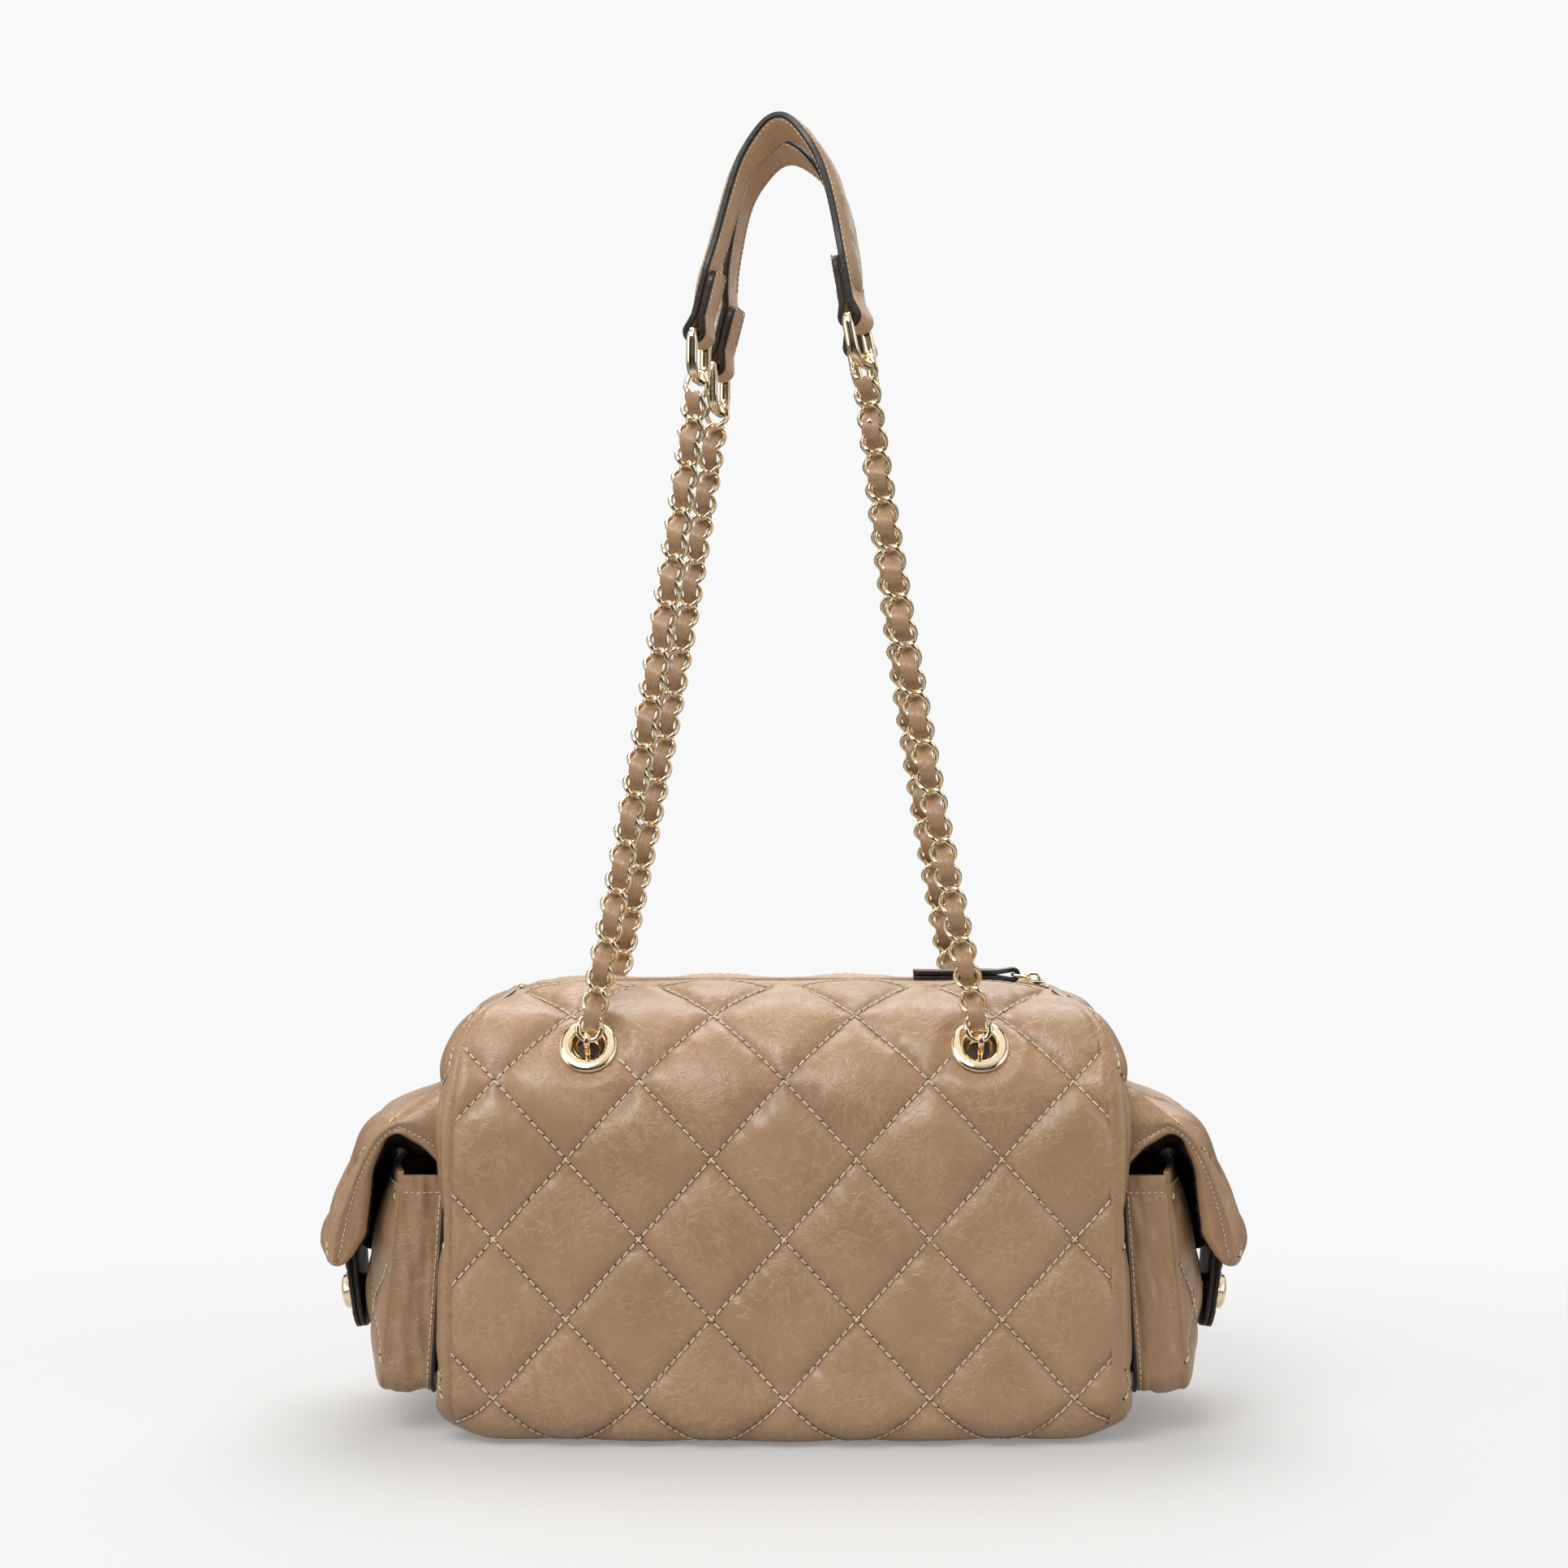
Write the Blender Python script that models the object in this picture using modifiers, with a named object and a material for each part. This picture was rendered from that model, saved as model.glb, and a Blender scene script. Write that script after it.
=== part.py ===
"""Quilted leather shoulder bag with laced chain handles, a top zip and two flap pockets on its ends.

Metres, +Z up. The origin is on the floor under the middle of the base. +X runs to the bag's right
end and +Y to its back. The two long faces are front and back, and a flap pocket sits on each end.
"""

from math import acos, asin, cos, pi, radians, sin, sqrt

import bmesh
import bpy
from mathutils import Matrix, Vector

# Body
BODY_HEIGHT = 0.156
BODY_DEPTH = 0.112
SEAM_LENGTH = 0.227
TOP_LENGTH = 0.194
TOP_RADIUS = 0.050
BASE_RADIUS = 0.020
ZIP_OPENING = 0.0207
NARROWING_ANGLE = radians(32)
PANEL_THICKNESS = 0.0025
SEAM_FLAT = 0.003
LINING_THICKNESS = 0.0010
BOARD_THICKNESS = 0.0015
BOARD_MARGIN = 0.003
END_BULGE = 0.0034
END_FOOT_BULGE = 0.0049
END_RIM_WIDTH = 0.010
END_TOP_ANGLE = radians(76)
GAP = 0.0003
CUT_OVERRUN = 0.002

# Zip
TAPE_THICKNESS = 0.0008
TAPE_INNER_HALF = 0.0029
TAPE_FLAT = 0.0010
TAPE_HIDDEN_WIDTH = 0.0113
TAPE_END_CLEARANCE = 0.0010
TEETH_HEIGHT = 0.0020
TEETH_MARGIN = 0.0003
STOP_LENGTH = 0.0011
SLIDER_LENGTH = 0.0090
SLIDER_WIDTH = 0.0088
SLIDER_PLATE = 0.0009
SLIDER_WEB = 0.0004
BRIDGE_WIRE = 0.0013
BRIDGE_LENGTH = 0.0066
PULL_WIRE = 0.0013
PULL_RING_LENGTH = 0.0075
PULL_RING_WIDTH = 0.0066
PULL_TILT = radians(12)
PULL_TAB_LENGTH = 0.036
PULL_TAB_WIDTH = 0.0100
PULL_TAB_LAYER = 0.0018

# Eyelets and their bails
EYELET_SPACING = 0.1346
EYELET_ANGLE = radians(36.5)
EYELET_RADIUS = 0.01025
EYELET_RIM = 0.0013
EYELET_ROUNDING = 0.0009
MOUTH_RADIUS = 0.00575
CUP_FLOOR_RADIUS = 0.0046
BARREL_RADIUS = 0.0065
CUP_WALL = 0.0008
BARREL_PROUD = 0.0004
WASHER_RADIUS = 0.0087
WASHER_THICKNESS = 0.0008
BAIL_WIRE = 0.0019
BAIL_PIVOT_HEIGHT = 0.0040

# Laced chains
CHAIN_LINKS = 28
LINK_HALF_WIDTH = 0.0036
LINK_WIRE = 0.0022
LINK_HOOK = 0.0007
LINK_TWIST = radians(45)
LINK_CORNER_ANGLES = [radians(a) for a in (20, 60, 120, 160, 200, 240, 300, 340)]
LINK_TILTS = (radians(6), radians(17))
CHAIN_BOW = 0.0024
LACE_WIDTH = 0.0038
LACE_THICKNESS = 0.0009
LACE_SWING = 0.0031
LACE_FLAT = 0.0018
LACE_TOP_JOINT = 26

# Rings and shoulder straps
HANDLE_RISE = 0.2205
RING_WIDTH = 0.0220
RING_HEIGHT = 0.0195
RING_WIRE = 0.0032
RING_TOP_CORNER = 0.0026
RING_FOOT_CORNER = 0.0058
STRAP_THICKNESS = 0.0026
STRAP_RISE = 0.0730
STRAP_LEAN = 0.003
FOLD_LENGTH = 0.0225
PAD_THICKNESS = 0.0016
PAD_MARGIN = 0.0020

# Each chain's upper end, in shares of half the eyelet spacing, half the body's depth and HANDLE_RISE
CHAIN_TOP_SHARES = {
    "front_left": (-0.456, -0.179, 0.990),
    "front_right": (0.409, -0.500, 1.000),
    "back_left": (-0.361, 0.321, 0.960),
    "back_right": (0.446, 0.000, 0.977),
}
# How far each ring is turned about Z, and how far it leans inwards at its top
RING_TURNS = {"left": radians(13), "right": radians(22)}
RING_LEANS = {"left": radians(1), "right": radians(12)}
STRAP_LEANS = {"left": radians(15), "right": radians(11)}
# The strap's arch, in shares of half its span from its middle and of its rise
ARCH_SHARES = (
    (-0.72, 0.45),
    (-0.46, 0.76),
    (-0.22, 0.89),
    (0.15, 1.00),
    (0.53, 0.905),
    (0.72, 0.76),
    (0.81, 0.59),
    (0.88, 0.41),
)
PAD_START_SHARE = 0.14
PAD_STOP_SHARE = 0.86

# Pockets
POCKET_TOP = 0.092
POCKET_FOOT = 0.014
POCKET_WIDTH = 0.084
POCKET_CORNER = 0.015
PLATE_THICKNESS = 0.0020
GUSSET_INSET = 0.0010
GUSSET_HEM = 0.0013
GUSSET_LIFT = 0.0026
GUSSET_THICKNESS = 0.0012
POCKET_DEPTH = 0.0115
POCKET_FOOT_DEPTH = 0.0045
FRONT_THICKNESS = 0.0020
FRONT_BULGE = 0.0120
FULLEST_SHARE = 0.45
MOUTH_BULGE_SHARE = 0.50
FLAP_WIDTH = 0.090
FLAP_TOP = 0.121
FLAP_DROP = 0.0635
FLAP_REACH = 0.0388
FLAP_BULGE = 0.0070
# The flap's side outline, in shares of its reach and drop: over the outside, then back up the inside
FLAP_SHARES = (
    (0.00, 0.00),
    (0.29, 0.10),
    (0.49, 0.20),
    (0.60, 0.27),
    (0.78, 0.48),
    (0.96, 0.74),
    (1.00, 0.90),
    (0.88, 1.00),
    (0.74, 0.985),
    (0.62, 0.90),
    (0.605, 0.70),
    (0.55, 0.51),
    (0.46, 0.31),
    (0.33, 0.22),
    (0.11, 0.28),
    (0.00, 0.38),
)
TAB_WIDTH = 0.023
TAB_LENGTH = 0.0270
TAB_THICKNESS = 0.0036
TAB_TOP_SHARE = 0.97
TAB_LEAN = radians(8)
TAB_CORNER = 0.006
CAP_RADIUS = 0.0068
CAP_HEIGHT = 0.0040
CAP_ROUNDING = 0.0006
CAP_DROP = 0.0145
SOCKET_RADIUS = 0.0060
SOCKET_THICKNESS = 0.0012

# Worked out from the sizes above
HALF_DEPTH = BODY_DEPTH / 2
HALF_SEAM = SEAM_LENGTH / 2
TOP_CENTRE_Y = HALF_DEPTH - TOP_RADIUS
TOP_CENTRE_Z = BODY_HEIGHT - TOP_RADIUS
ZIP_EDGE_ANGLE = acos((ZIP_OPENING / 2 - TOP_CENTRE_Y) / TOP_RADIUS)
BASE_FLAT = HALF_DEPTH - BASE_RADIUS
BARREL_STEPS = 16
WASHER_SAG = (TOP_RADIUS - PANEL_THICKNESS) - sqrt((TOP_RADIUS - PANEL_THICKNESS) ** 2 - WASHER_RADIUS**2)
WASHER_DEPTH = PANEL_THICKNESS + WASHER_SAG + GAP
BARREL_DEPTH = WASHER_DEPTH + WASHER_THICKNESS + BARREL_PROUD
LINING_INSET = BARREL_DEPTH + GAP
PLATEAU = HALF_SEAM + GAP / 2 + PANEL_THICKNESS + END_BULGE
TAPE_HALF = TOP_LENGTH / 2 - TAPE_END_CLEARANCE
TAPE_INSET = PANEL_THICKNESS + GAP
TAPE_RADIUS = TOP_RADIUS - TAPE_INSET
TAPE_ANGLE = ZIP_EDGE_ANGLE - TAPE_HIDDEN_WIDTH / TOP_RADIUS
TAPE_CREST_ANGLE = acos(max(TAPE_INNER_HALF + TAPE_FLAT - TOP_CENTRE_Y, 0) / TAPE_RADIUS)
TAPE_Z = TOP_CENTRE_Z + TAPE_RADIUS * sin(TAPE_CREST_ANGLE)
PULL_INNER = PULL_WIRE / 2 + GAP


def smoothstep(t):
    t = min(max(t, 0), 1)
    return t * t * (3 - 2 * t)


def material(name, colour, roughness, metallic=0.0):
    made = bpy.data.materials.new(name)
    made.use_nodes = True
    shader = made.node_tree.nodes["Principled BSDF"]
    shader.inputs["Base Color"].default_value = (*colour, 1)
    shader.inputs["Roughness"].default_value = roughness
    shader.inputs["Metallic"].default_value = metallic
    made.diffuse_color = (*colour, 1)
    return made


def clear_scene():
    for obj in list(bpy.data.objects):
        bpy.data.objects.remove(obj, do_unlink=True)


def new_collection(name):
    made = bpy.data.collections.new(name)
    bpy.context.scene.collection.children.link(made)
    return made


def add(name, data, finish=None, collection=None):
    obj = bpy.data.objects.new(name, data)
    (collection or PARTS).objects.link(obj)
    if finish:
        data.materials.append(finish)
    return obj


def twin(obj, name, turn=pi):
    """A second object on the same mesh and modifiers, turned about Z."""
    copy = obj.copy()
    copy.name = name
    PARTS.objects.link(copy)
    copy.matrix_world = Matrix.Rotation(turn, 4, "Z") @ obj.matrix_world
    return copy


def grid(name, across, along, place, push=None):
    """A grid whose corner (u, v), each from 0 to 1, lies at place(u, v). push extrudes it to a solid."""
    shape = bmesh.new()
    bmesh.ops.create_grid(shape, x_segments=across, y_segments=along, size=1)
    for corner in shape.verts:
        corner.co = place((corner.co.x + 1) / 2, (corner.co.y + 1) / 2)
    if push:
        grown = bmesh.ops.extrude_face_region(shape, geom=shape.faces[:], use_keep_orig=True)
        moved = [item for item in grown["geom"] if isinstance(item, bmesh.types.BMVert)]
        bmesh.ops.translate(shape, verts=moved, vec=push)
        bmesh.ops.recalc_face_normals(shape, faces=shape.faces)
    return finished_mesh(name, shape)


def finished_mesh(name, shape):
    mesh = bpy.data.meshes.new(name)
    shape.to_mesh(mesh)
    shape.free()
    mesh.shade_smooth()
    mesh.set_sharp_from_angle(angle=radians(40))
    return mesh


def solidify(obj, thickness, offset):
    wall = obj.modifiers.new("Thickness", "SOLIDIFY")
    wall.thickness = thickness
    wall.offset = offset
    wall.use_even_offset = True


def prism(name, outline, push):
    """The closed outline, pushed along a vector to a solid."""
    shape = bmesh.new()
    face = shape.faces.new([shape.verts.new(point) for point in outline])
    grown = bmesh.ops.extrude_face_region(shape, geom=[face], use_keep_orig=True)
    moved = [item for item in grown["geom"] if isinstance(item, bmesh.types.BMVert)]
    bmesh.ops.translate(shape, verts=moved, vec=push)
    bmesh.ops.recalc_face_normals(shape, faces=shape.faces)
    return finished_mesh(name, shape)


def block(name, low, high):
    shape = bmesh.new()
    bmesh.ops.create_cube(shape, size=1)
    low, high = Vector(low), Vector(high)
    for corner in shape.verts:
        share = corner.co + Vector((0.5, 0.5, 0.5))
        corner.co = Vector(a + (b - a) * s for a, b, s in zip(low, high, share))
    return finished_mesh(name, shape)


def turned(name, profile, finish, steps=BARREL_STEPS, closed=False):
    """A profile of (radius, height) turned about Z by a Screw modifier."""
    mesh = bpy.data.meshes.new(name)
    edges = [(i, i + 1) for i in range(len(profile) - 1)]
    if closed:
        edges.append((len(profile) - 1, 0))
    mesh.from_pydata([(r, 0, h) for r, h in profile], edges, [])
    obj = add(name, mesh, finish)
    spin = obj.modifiers.new("Turn", "SCREW")
    spin.steps = spin.render_steps = steps
    spin.use_merge_vertices = True
    spin.merge_threshold = 0.00001
    spin.use_normal_calculate = True
    return as_mesh(obj)


def wire_curve(name, routes, radius, sides, cyclic, tilt=0):
    """Curve data with one POLY spline for each route. tilt turns its section about the route."""
    curve = bpy.data.curves.new(name, "CURVE")
    curve.dimensions = "3D"
    curve.bevel_depth = radius
    curve.bevel_resolution = (sides - 4) // 2
    curve.use_fill_caps = not cyclic
    for route in routes:
        spline = curve.splines.new("POLY")
        spline.points.add(len(route) - 1)
        for point, place in zip(spline.points, route):
            point.co = (*place, 1)
            point.tilt = tilt
        spline.use_cyclic_u = cyclic
    return curve


def as_mesh(obj):
    """The object's evaluated shape as a mesh object of the same name, welded and facing out."""
    bpy.context.view_layer.update()
    evaluated = obj.evaluated_get(bpy.context.evaluated_depsgraph_get())
    mesh = bpy.data.meshes.new_from_object(evaluated)
    shape = bmesh.new()
    shape.from_mesh(mesh)
    bmesh.ops.remove_doubles(shape, verts=shape.verts, dist=0.000005)
    bmesh.ops.recalc_face_normals(shape, faces=shape.faces)
    shape.to_mesh(mesh)
    shape.free()
    name, place, home = obj.name, obj.matrix_world.copy(), obj.users_collection[0]
    bpy.data.objects.remove(obj)
    made = bpy.data.objects.new(name, mesh)
    home.objects.link(made)
    made.matrix_world = place
    return made


def helper(obj):
    """Marks an object as a cutter or a joined piece that isn't a part by itself."""
    obj.hide_render = True
    obj.display_type = "WIRE"
    return obj


def boolean(obj, other, operation, solver="EXACT"):
    cut = obj.modifiers.new("Boolean", "BOOLEAN")
    cut.operation = operation
    cut.solver = solver
    cut.object = other


def arc(centre, radius, start, stop, steps):
    """Points (a, b) on an arc about centre, from one angle to another."""
    turns = [start + (stop - start) * i / steps for i in range(steps + 1)]
    return [(centre[0] + radius * cos(t), centre[1] + radius * sin(t)) for t in turns]


def smooth_route(points, steps):
    """A Catmull-Rom curve through the points, with that many steps to each span."""
    ends = [points[0] * 2 - points[1], *points, points[-1] * 2 - points[-2]]
    route = []
    for a, b, c, d in zip(ends, ends[1:], ends[2:], ends[3:]):
        for i in range(steps):
            t = i / steps
            bend = (c - a) * t + (a * 2 - b * 5 + c * 4 - d) * t**2 + (b * 3 - a - c * 3 + d) * t**3
            route.append(b + bend / 2)
    return [*route, points[-1]]


def band(name, route, widths, thickness, finish):
    """A flat strap along a route. widths holds half its width, as a vector, at each point."""
    last = len(route) - 1

    def place(u, v):
        i = round(u * last)
        return route[i] + widths[i] * (2 * v - 1)

    obj = add(name, grid(name, last, 1, place), finish)
    solidify(obj, thickness, 0)
    return obj


# The body's section and seams


def seam_half(z):
    """Half the body's length between its end seams at height z: it narrows towards the zip."""
    angle = asin(min(max((z - TOP_CENTRE_Z) / TOP_RADIUS, 0), 1))
    share = smoothstep((angle - NARROWING_ANGLE) / (ZIP_EDGE_ANGLE - NARROWING_ANGLE))
    return HALF_SEAM - (HALF_SEAM - TOP_LENGTH / 2) * share


def section(inset, top_angle=ZIP_EDGE_ANGLE, base_steps=4, top_steps=10, face_shares=()):
    """Half of the body's section as points (half depth, height), from the base edge to the zip edge."""
    seam = (BASE_FLAT - SEAM_FLAT, inset)
    low = arc((BASE_FLAT, BASE_RADIUS), BASE_RADIUS - inset, -pi / 2, 0, base_steps)
    high = arc((TOP_CENTRE_Y, TOP_CENTRE_Z), TOP_RADIUS - inset, 0, top_angle, top_steps)
    face = [(HALF_DEPTH - inset, BASE_RADIUS + (POCKET_TOP - BASE_RADIUS) * share) for share in face_shares]
    return [seam, *low, *face, *high]


def plateau(z):
    """How far out the end panel's full face lies at height z: it spreads towards its foot."""
    return PLATEAU + END_FOOT_BULGE * max(1 - z / POCKET_TOP, 0)


def long_panels():
    rows = section(0)
    last = len(rows) - 1

    def place(u, v):
        y, z = rows[round(v * last)]
        return Vector(((seam_half(z) - GAP / 2) * (2 * u - 1), -y, z))

    front = add("front_panel", grid("front_panel", 2, last, place), LEATHER)
    solidify(front, PANEL_THICKNESS, -1)
    for side in (-1, 1):
        boolean(front, eyelet_hole(side), "DIFFERENCE")
    front = as_mesh(front)
    back = twin(front, "back_panel")
    return front, back


def eyelet_hole(side):
    """A cutter for the barrel of the eyelet on that side of the front."""
    shape = bmesh.new()
    bmesh.ops.create_cone(
        shape,
        cap_ends=True,
        segments=BARREL_STEPS,
        radius1=BARREL_RADIUS + GAP,
        radius2=BARREL_RADIUS + GAP,
        depth=2 * BARREL_DEPTH,
    )
    hole = helper(add("eyelet_hole", finished_mesh("eyelet_hole", shape), None, CUTTERS))
    hole.matrix_world = eyelet_frame(side)
    return hole


def base_panel():
    """The flat panel between the two long panels' lower edges."""
    half_width = BASE_FLAT - SEAM_FLAT - GAP
    low = (GAP / 2 - HALF_SEAM, -half_width, 0)
    high = (HALF_SEAM - GAP / 2, half_width, PANEL_THICKNESS)
    add("base_panel", block("base_panel", low, high), LEATHER)
    half_length, half_width = HALF_SEAM - BOARD_MARGIN, BASE_FLAT - BOARD_MARGIN
    low = (-half_length, -half_width, PANEL_THICKNESS + GAP)
    high = (half_length, half_width, PANEL_THICKNESS + GAP + BOARD_THICKNESS)
    add("base_board", block("base_board", low, high), BOARD)


def end_panels():
    """Puffed end panels: a rim level with the seam that swells to a plateau in its own width."""
    rows = section(0, END_TOP_ANGLE, top_steps=8, face_shares=(0.33, 0.67, 1))[1:]
    last = len(rows) - 1

    def place(u, v):
        y, z = rows[round(v * last)]
        share = sin((2 * u - 1) * pi / 2)
        from_edge = min(y * (1 - abs(share)), z, BODY_HEIGHT - z)
        rim = seam_half(z) + GAP / 2 + PANEL_THICKNESS
        swell = (plateau(z) - PLATEAU + END_BULGE) * smoothstep(from_edge / END_RIM_WIDTH)
        return Vector((-rim - swell, -y * share, z))

    left = add("left_end_panel", grid("end_panel", 8, last, place, Vector((PANEL_THICKNESS, 0, 0))), LEATHER)
    twin(left, "right_end_panel")


def lining():
    """A sack that follows the panels from inside, open under the zip."""
    rows = section(LINING_INSET, TAPE_ANGLE, base_steps=3, top_steps=7)[1:]
    shape = bmesh.new()
    rings = []
    for y, z in rows:
        x = seam_half(z) - GAP / 2
        rings.append([shape.verts.new(p) for p in ((-x, -y, z), (x, -y, z), (x, y, z), (-x, y, z))])
    shape.faces.new(rings[0])
    for low, high in zip(rings, rings[1:]):
        for i in range(4):
            j = (i + 1) % 4
            shape.faces.new((low[i], low[j], high[j], high[i]))
    bmesh.ops.recalc_face_normals(shape, faces=shape.faces)
    obj = add("lining", finished_mesh("lining", shape), CLOTH)
    solidify(obj, LINING_THICKNESS, -1)


# The zip


def zip_tapes():
    rows = arc((TOP_CENTRE_Y, TOP_CENTRE_Z), TAPE_RADIUS, TAPE_ANGLE, TAPE_CREST_ANGLE, 3)
    rows.append((TAPE_INNER_HALF, TAPE_Z))
    last = len(rows) - 1

    def place(u, v):
        y, z = rows[round(v * last)]
        return Vector((TAPE_HALF * (2 * u - 1), -y, z))

    tape = add("zip_tape_front", grid("zip_tape", 1, last, place), TAPE)
    solidify(tape, TAPE_THICKNESS, -1)
    twin(tape, "zip_tape_back")


def zip_teeth():
    """One row of teeth on each tape's edge. The slider's web runs in the slit between them."""
    reach = TAPE_HALF - STOP_LENGTH - TEETH_MARGIN
    slit = SLIDER_WEB / 2 + GAP
    top = TAPE_Z + (TEETH_HEIGHT - TAPE_THICKNESS) / 2
    low = (-reach, -(TAPE_INNER_HALF - GAP), top - TEETH_HEIGHT)
    teeth = add("zip_teeth_front", block("zip_teeth", low, (reach, -slit, top)), METAL)
    twin(teeth, "zip_teeth_back")
    for side, name in ((-1, "zip_stop_left"), (1, "zip_stop_right")):
        ends = sorted((side * (reach + GAP), side * (reach + GAP + STOP_LENGTH)))
        low = (ends[0], -(TAPE_INNER_HALF - GAP), top - TEETH_HEIGHT)
        high = (ends[1], TAPE_INNER_HALF - GAP, top)
        add(name, block(name, low, high), METAL)
    return top


def zip_slider(teeth_top):
    """A plate above and below the teeth, joined by a thin web, with a bridge that holds the pull."""
    right = TAPE_HALF - STOP_LENGTH - TEETH_MARGIN
    half = SLIDER_WIDTH / 2
    web = SLIDER_WEB / 2
    top_low = max(teeth_top, TAPE_Z) + GAP
    top_high = top_low + SLIDER_PLATE
    foot_high = teeth_top - TEETH_HEIGHT - GAP
    foot_low = foot_high - SLIDER_PLATE
    upper = [(-half, top_high), (-half, top_low), (-web, top_low), (-web, foot_high), (-half, foot_high)]
    lower = [(-half, foot_low), (half, foot_low), (half, foot_high), (web, foot_high), (web, top_low)]
    outline = upper + lower + [(half, top_low), (half, top_high)]
    points = [Vector((right - SLIDER_LENGTH, y, z)) for y, z in outline]
    body = add("zip_slider", prism("zip_slider", points, Vector((SLIDER_LENGTH, 0, 0))), METAL)

    pivot_z = top_high + GAP + PULL_WIRE / 2
    bridge_z = pivot_z + PULL_INNER + BRIDGE_WIRE / 2
    middle = right - SLIDER_LENGTH / 2
    legs = BRIDGE_LENGTH / 2 - BRIDGE_WIRE / 2
    sunk = top_high - SLIDER_PLATE / 2
    route = [Vector((middle - legs, 0, sunk)), Vector((middle - legs, 0, bridge_z - BRIDGE_WIRE / 2))]
    route += [Vector((middle - legs + BRIDGE_WIRE / 2, 0, bridge_z))]
    route += [Vector((2 * middle - p.x, 0, p.z)) for p in reversed(route)]
    bridge = add("slider_bridge", wire_curve("slider_bridge", [route], BRIDGE_WIRE / 2, 6, False), None, CUTTERS)
    boolean(body, helper(as_mesh(bridge)), "UNION")
    pivot_x = middle - legs + BRIDGE_WIRE / 2 + PULL_INNER
    return Vector((pivot_x, 0, pivot_z))


def tilted(pivot, x, y):
    """A point of the pull ring's plane, which rises to the left of the bridge."""
    out = pivot.x - x
    return Vector((pivot.x - out * cos(PULL_TILT), y, pivot.z + out * sin(PULL_TILT)))


def zip_pull(pivot):
    """An oval ring through the slider's bridge, lying to the left, and a folded tab round its far end."""
    far = pivot.x - (PULL_RING_LENGTH - PULL_WIRE)
    half = (PULL_RING_WIDTH - PULL_WIRE) / 2
    corner = PULL_WIRE
    outline = []
    for x, y, start in ((far + corner, half - corner, pi / 2), (far + corner, corner - half, pi)):
        outline += arc((x, y), corner, start, start + pi / 2, 2)
    for x, y, start in ((pivot.x - corner, corner - half, -pi / 2), (pivot.x - corner, half - corner, 0)):
        outline += arc((x, y), corner, start, start + pi / 2, 2)
    route = [tilted(pivot, x, y) for x, y in outline]
    add("zip_pull_ring", wire_curve("zip_pull_ring", [route], PULL_WIRE / 2, 6, True), METAL)

    bar = tilted(pivot, far, 0)
    bend = PULL_INNER + PULL_TAB_LAYER / 2
    rest = (PULL_TAB_LAYER + GAP) / 2
    end = bar.x - PULL_TAB_LENGTH
    fold = [Vector((x, 0, z)) for x, z in arc((bar.x, bar.z), bend, pi / 2, -pi / 2, 6)]
    taper = bar.x - 4 * bend
    upper = [Vector((end, 0, bar.z + rest)), Vector((taper, 0, bar.z + rest))]
    lower = [Vector((taper, 0, bar.z - rest)), Vector((end, 0, bar.z - rest))]
    route = upper + fold + lower
    half_width = half - PULL_WIRE / 2 - GAP

    def width(point):
        share = smoothstep((bar.x - 2 * bend - point.x) / (2 * bend))
        return Vector((0, half_width + (PULL_TAB_WIDTH / 2 - half_width) * share, 0))

    band("zip_pull_tab", route, [width(p) for p in route], PULL_TAB_LAYER, EDGE)


# Eyelets


def eyelet_frame(side):
    """The frame of a front eyelet: its Z is the panel's outward normal, its origin on the skin."""
    y = -(TOP_CENTRE_Y + TOP_RADIUS * cos(EYELET_ANGLE))
    z = TOP_CENTRE_Z + TOP_RADIUS * sin(EYELET_ANGLE)
    tilt = Matrix.Rotation(pi / 2 - EYELET_ANGLE, 4, "X")
    return Matrix.Translation((side * EYELET_SPACING / 2, y, z)) @ tilt


def eyelets():
    """A dished cup with a flange, a washer behind the panel and a wire bail on the cup's floor."""
    floor = CUP_WALL - BARREL_DEPTH
    lip = EYELET_RIM - EYELET_ROUNDING
    cup = [(0, floor), (CUP_FLOOR_RADIUS, floor), (MOUTH_RADIUS, lip), (BARREL_RADIUS, EYELET_RIM)]
    flange = [(EYELET_RADIUS - EYELET_ROUNDING, EYELET_RIM), (EYELET_RADIUS, lip + GAP), (EYELET_RADIUS, GAP)]
    barrel = [(BARREL_RADIUS, GAP), (BARREL_RADIUS, -BARREL_DEPTH), (0, -BARREL_DEPTH)]
    eyelet = turned("front_left_eyelet", cup + flange + barrel, METAL)

    inner, outer = BARREL_RADIUS + GAP, WASHER_RADIUS
    top, foot = -WASHER_DEPTH, -WASHER_DEPTH - WASHER_THICKNESS
    ring = [(inner, top), (outer, top), (outer, foot), (inner, foot)]
    washer = turned("front_left_washer", ring, METAL, closed=True)

    bend = (LINK_WIRE + BAIL_WIRE) / 2 + GAP
    crown = arc((0, BAIL_PIVOT_HEIGHT), bend, 0, pi, 6)
    route = [(bend, floor + GAP), *crown, (-bend, floor + GAP)]
    points = [Vector((0, a, h)) for a, h in route]
    bail = add("front_left_bail", wire_curve("bail", [points], BAIL_WIRE / 2, 6, False), METAL)

    for piece, kind in ((eyelet, "eyelet"), (washer, "washer"), (bail, "bail")):
        piece.matrix_world = eyelet_frame(-1)
        right = twin(piece, "front_right_" + kind, 0)
        right.matrix_world = eyelet_frame(1)
        twin(right, "back_left_" + kind)
        twin(piece, "back_right_" + kind)


# Laced chains


def chain_foot(face, side):
    """Where a chain's lowest link hangs in its bail: the middle of that link's end wire."""
    point = eyelet_frame(side) @ Vector((0, 0, BAIL_PIVOT_HEIGHT))
    return Vector((point.x, face * point.y, point.z))


def chain_top(corner):
    share_x, share_y, share_z = CHAIN_TOP_SHARES[corner]
    z = BODY_HEIGHT + share_z * HANDLE_RISE
    return Vector((share_x * EYELET_SPACING / 2, share_y * HALF_DEPTH, z))


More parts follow.
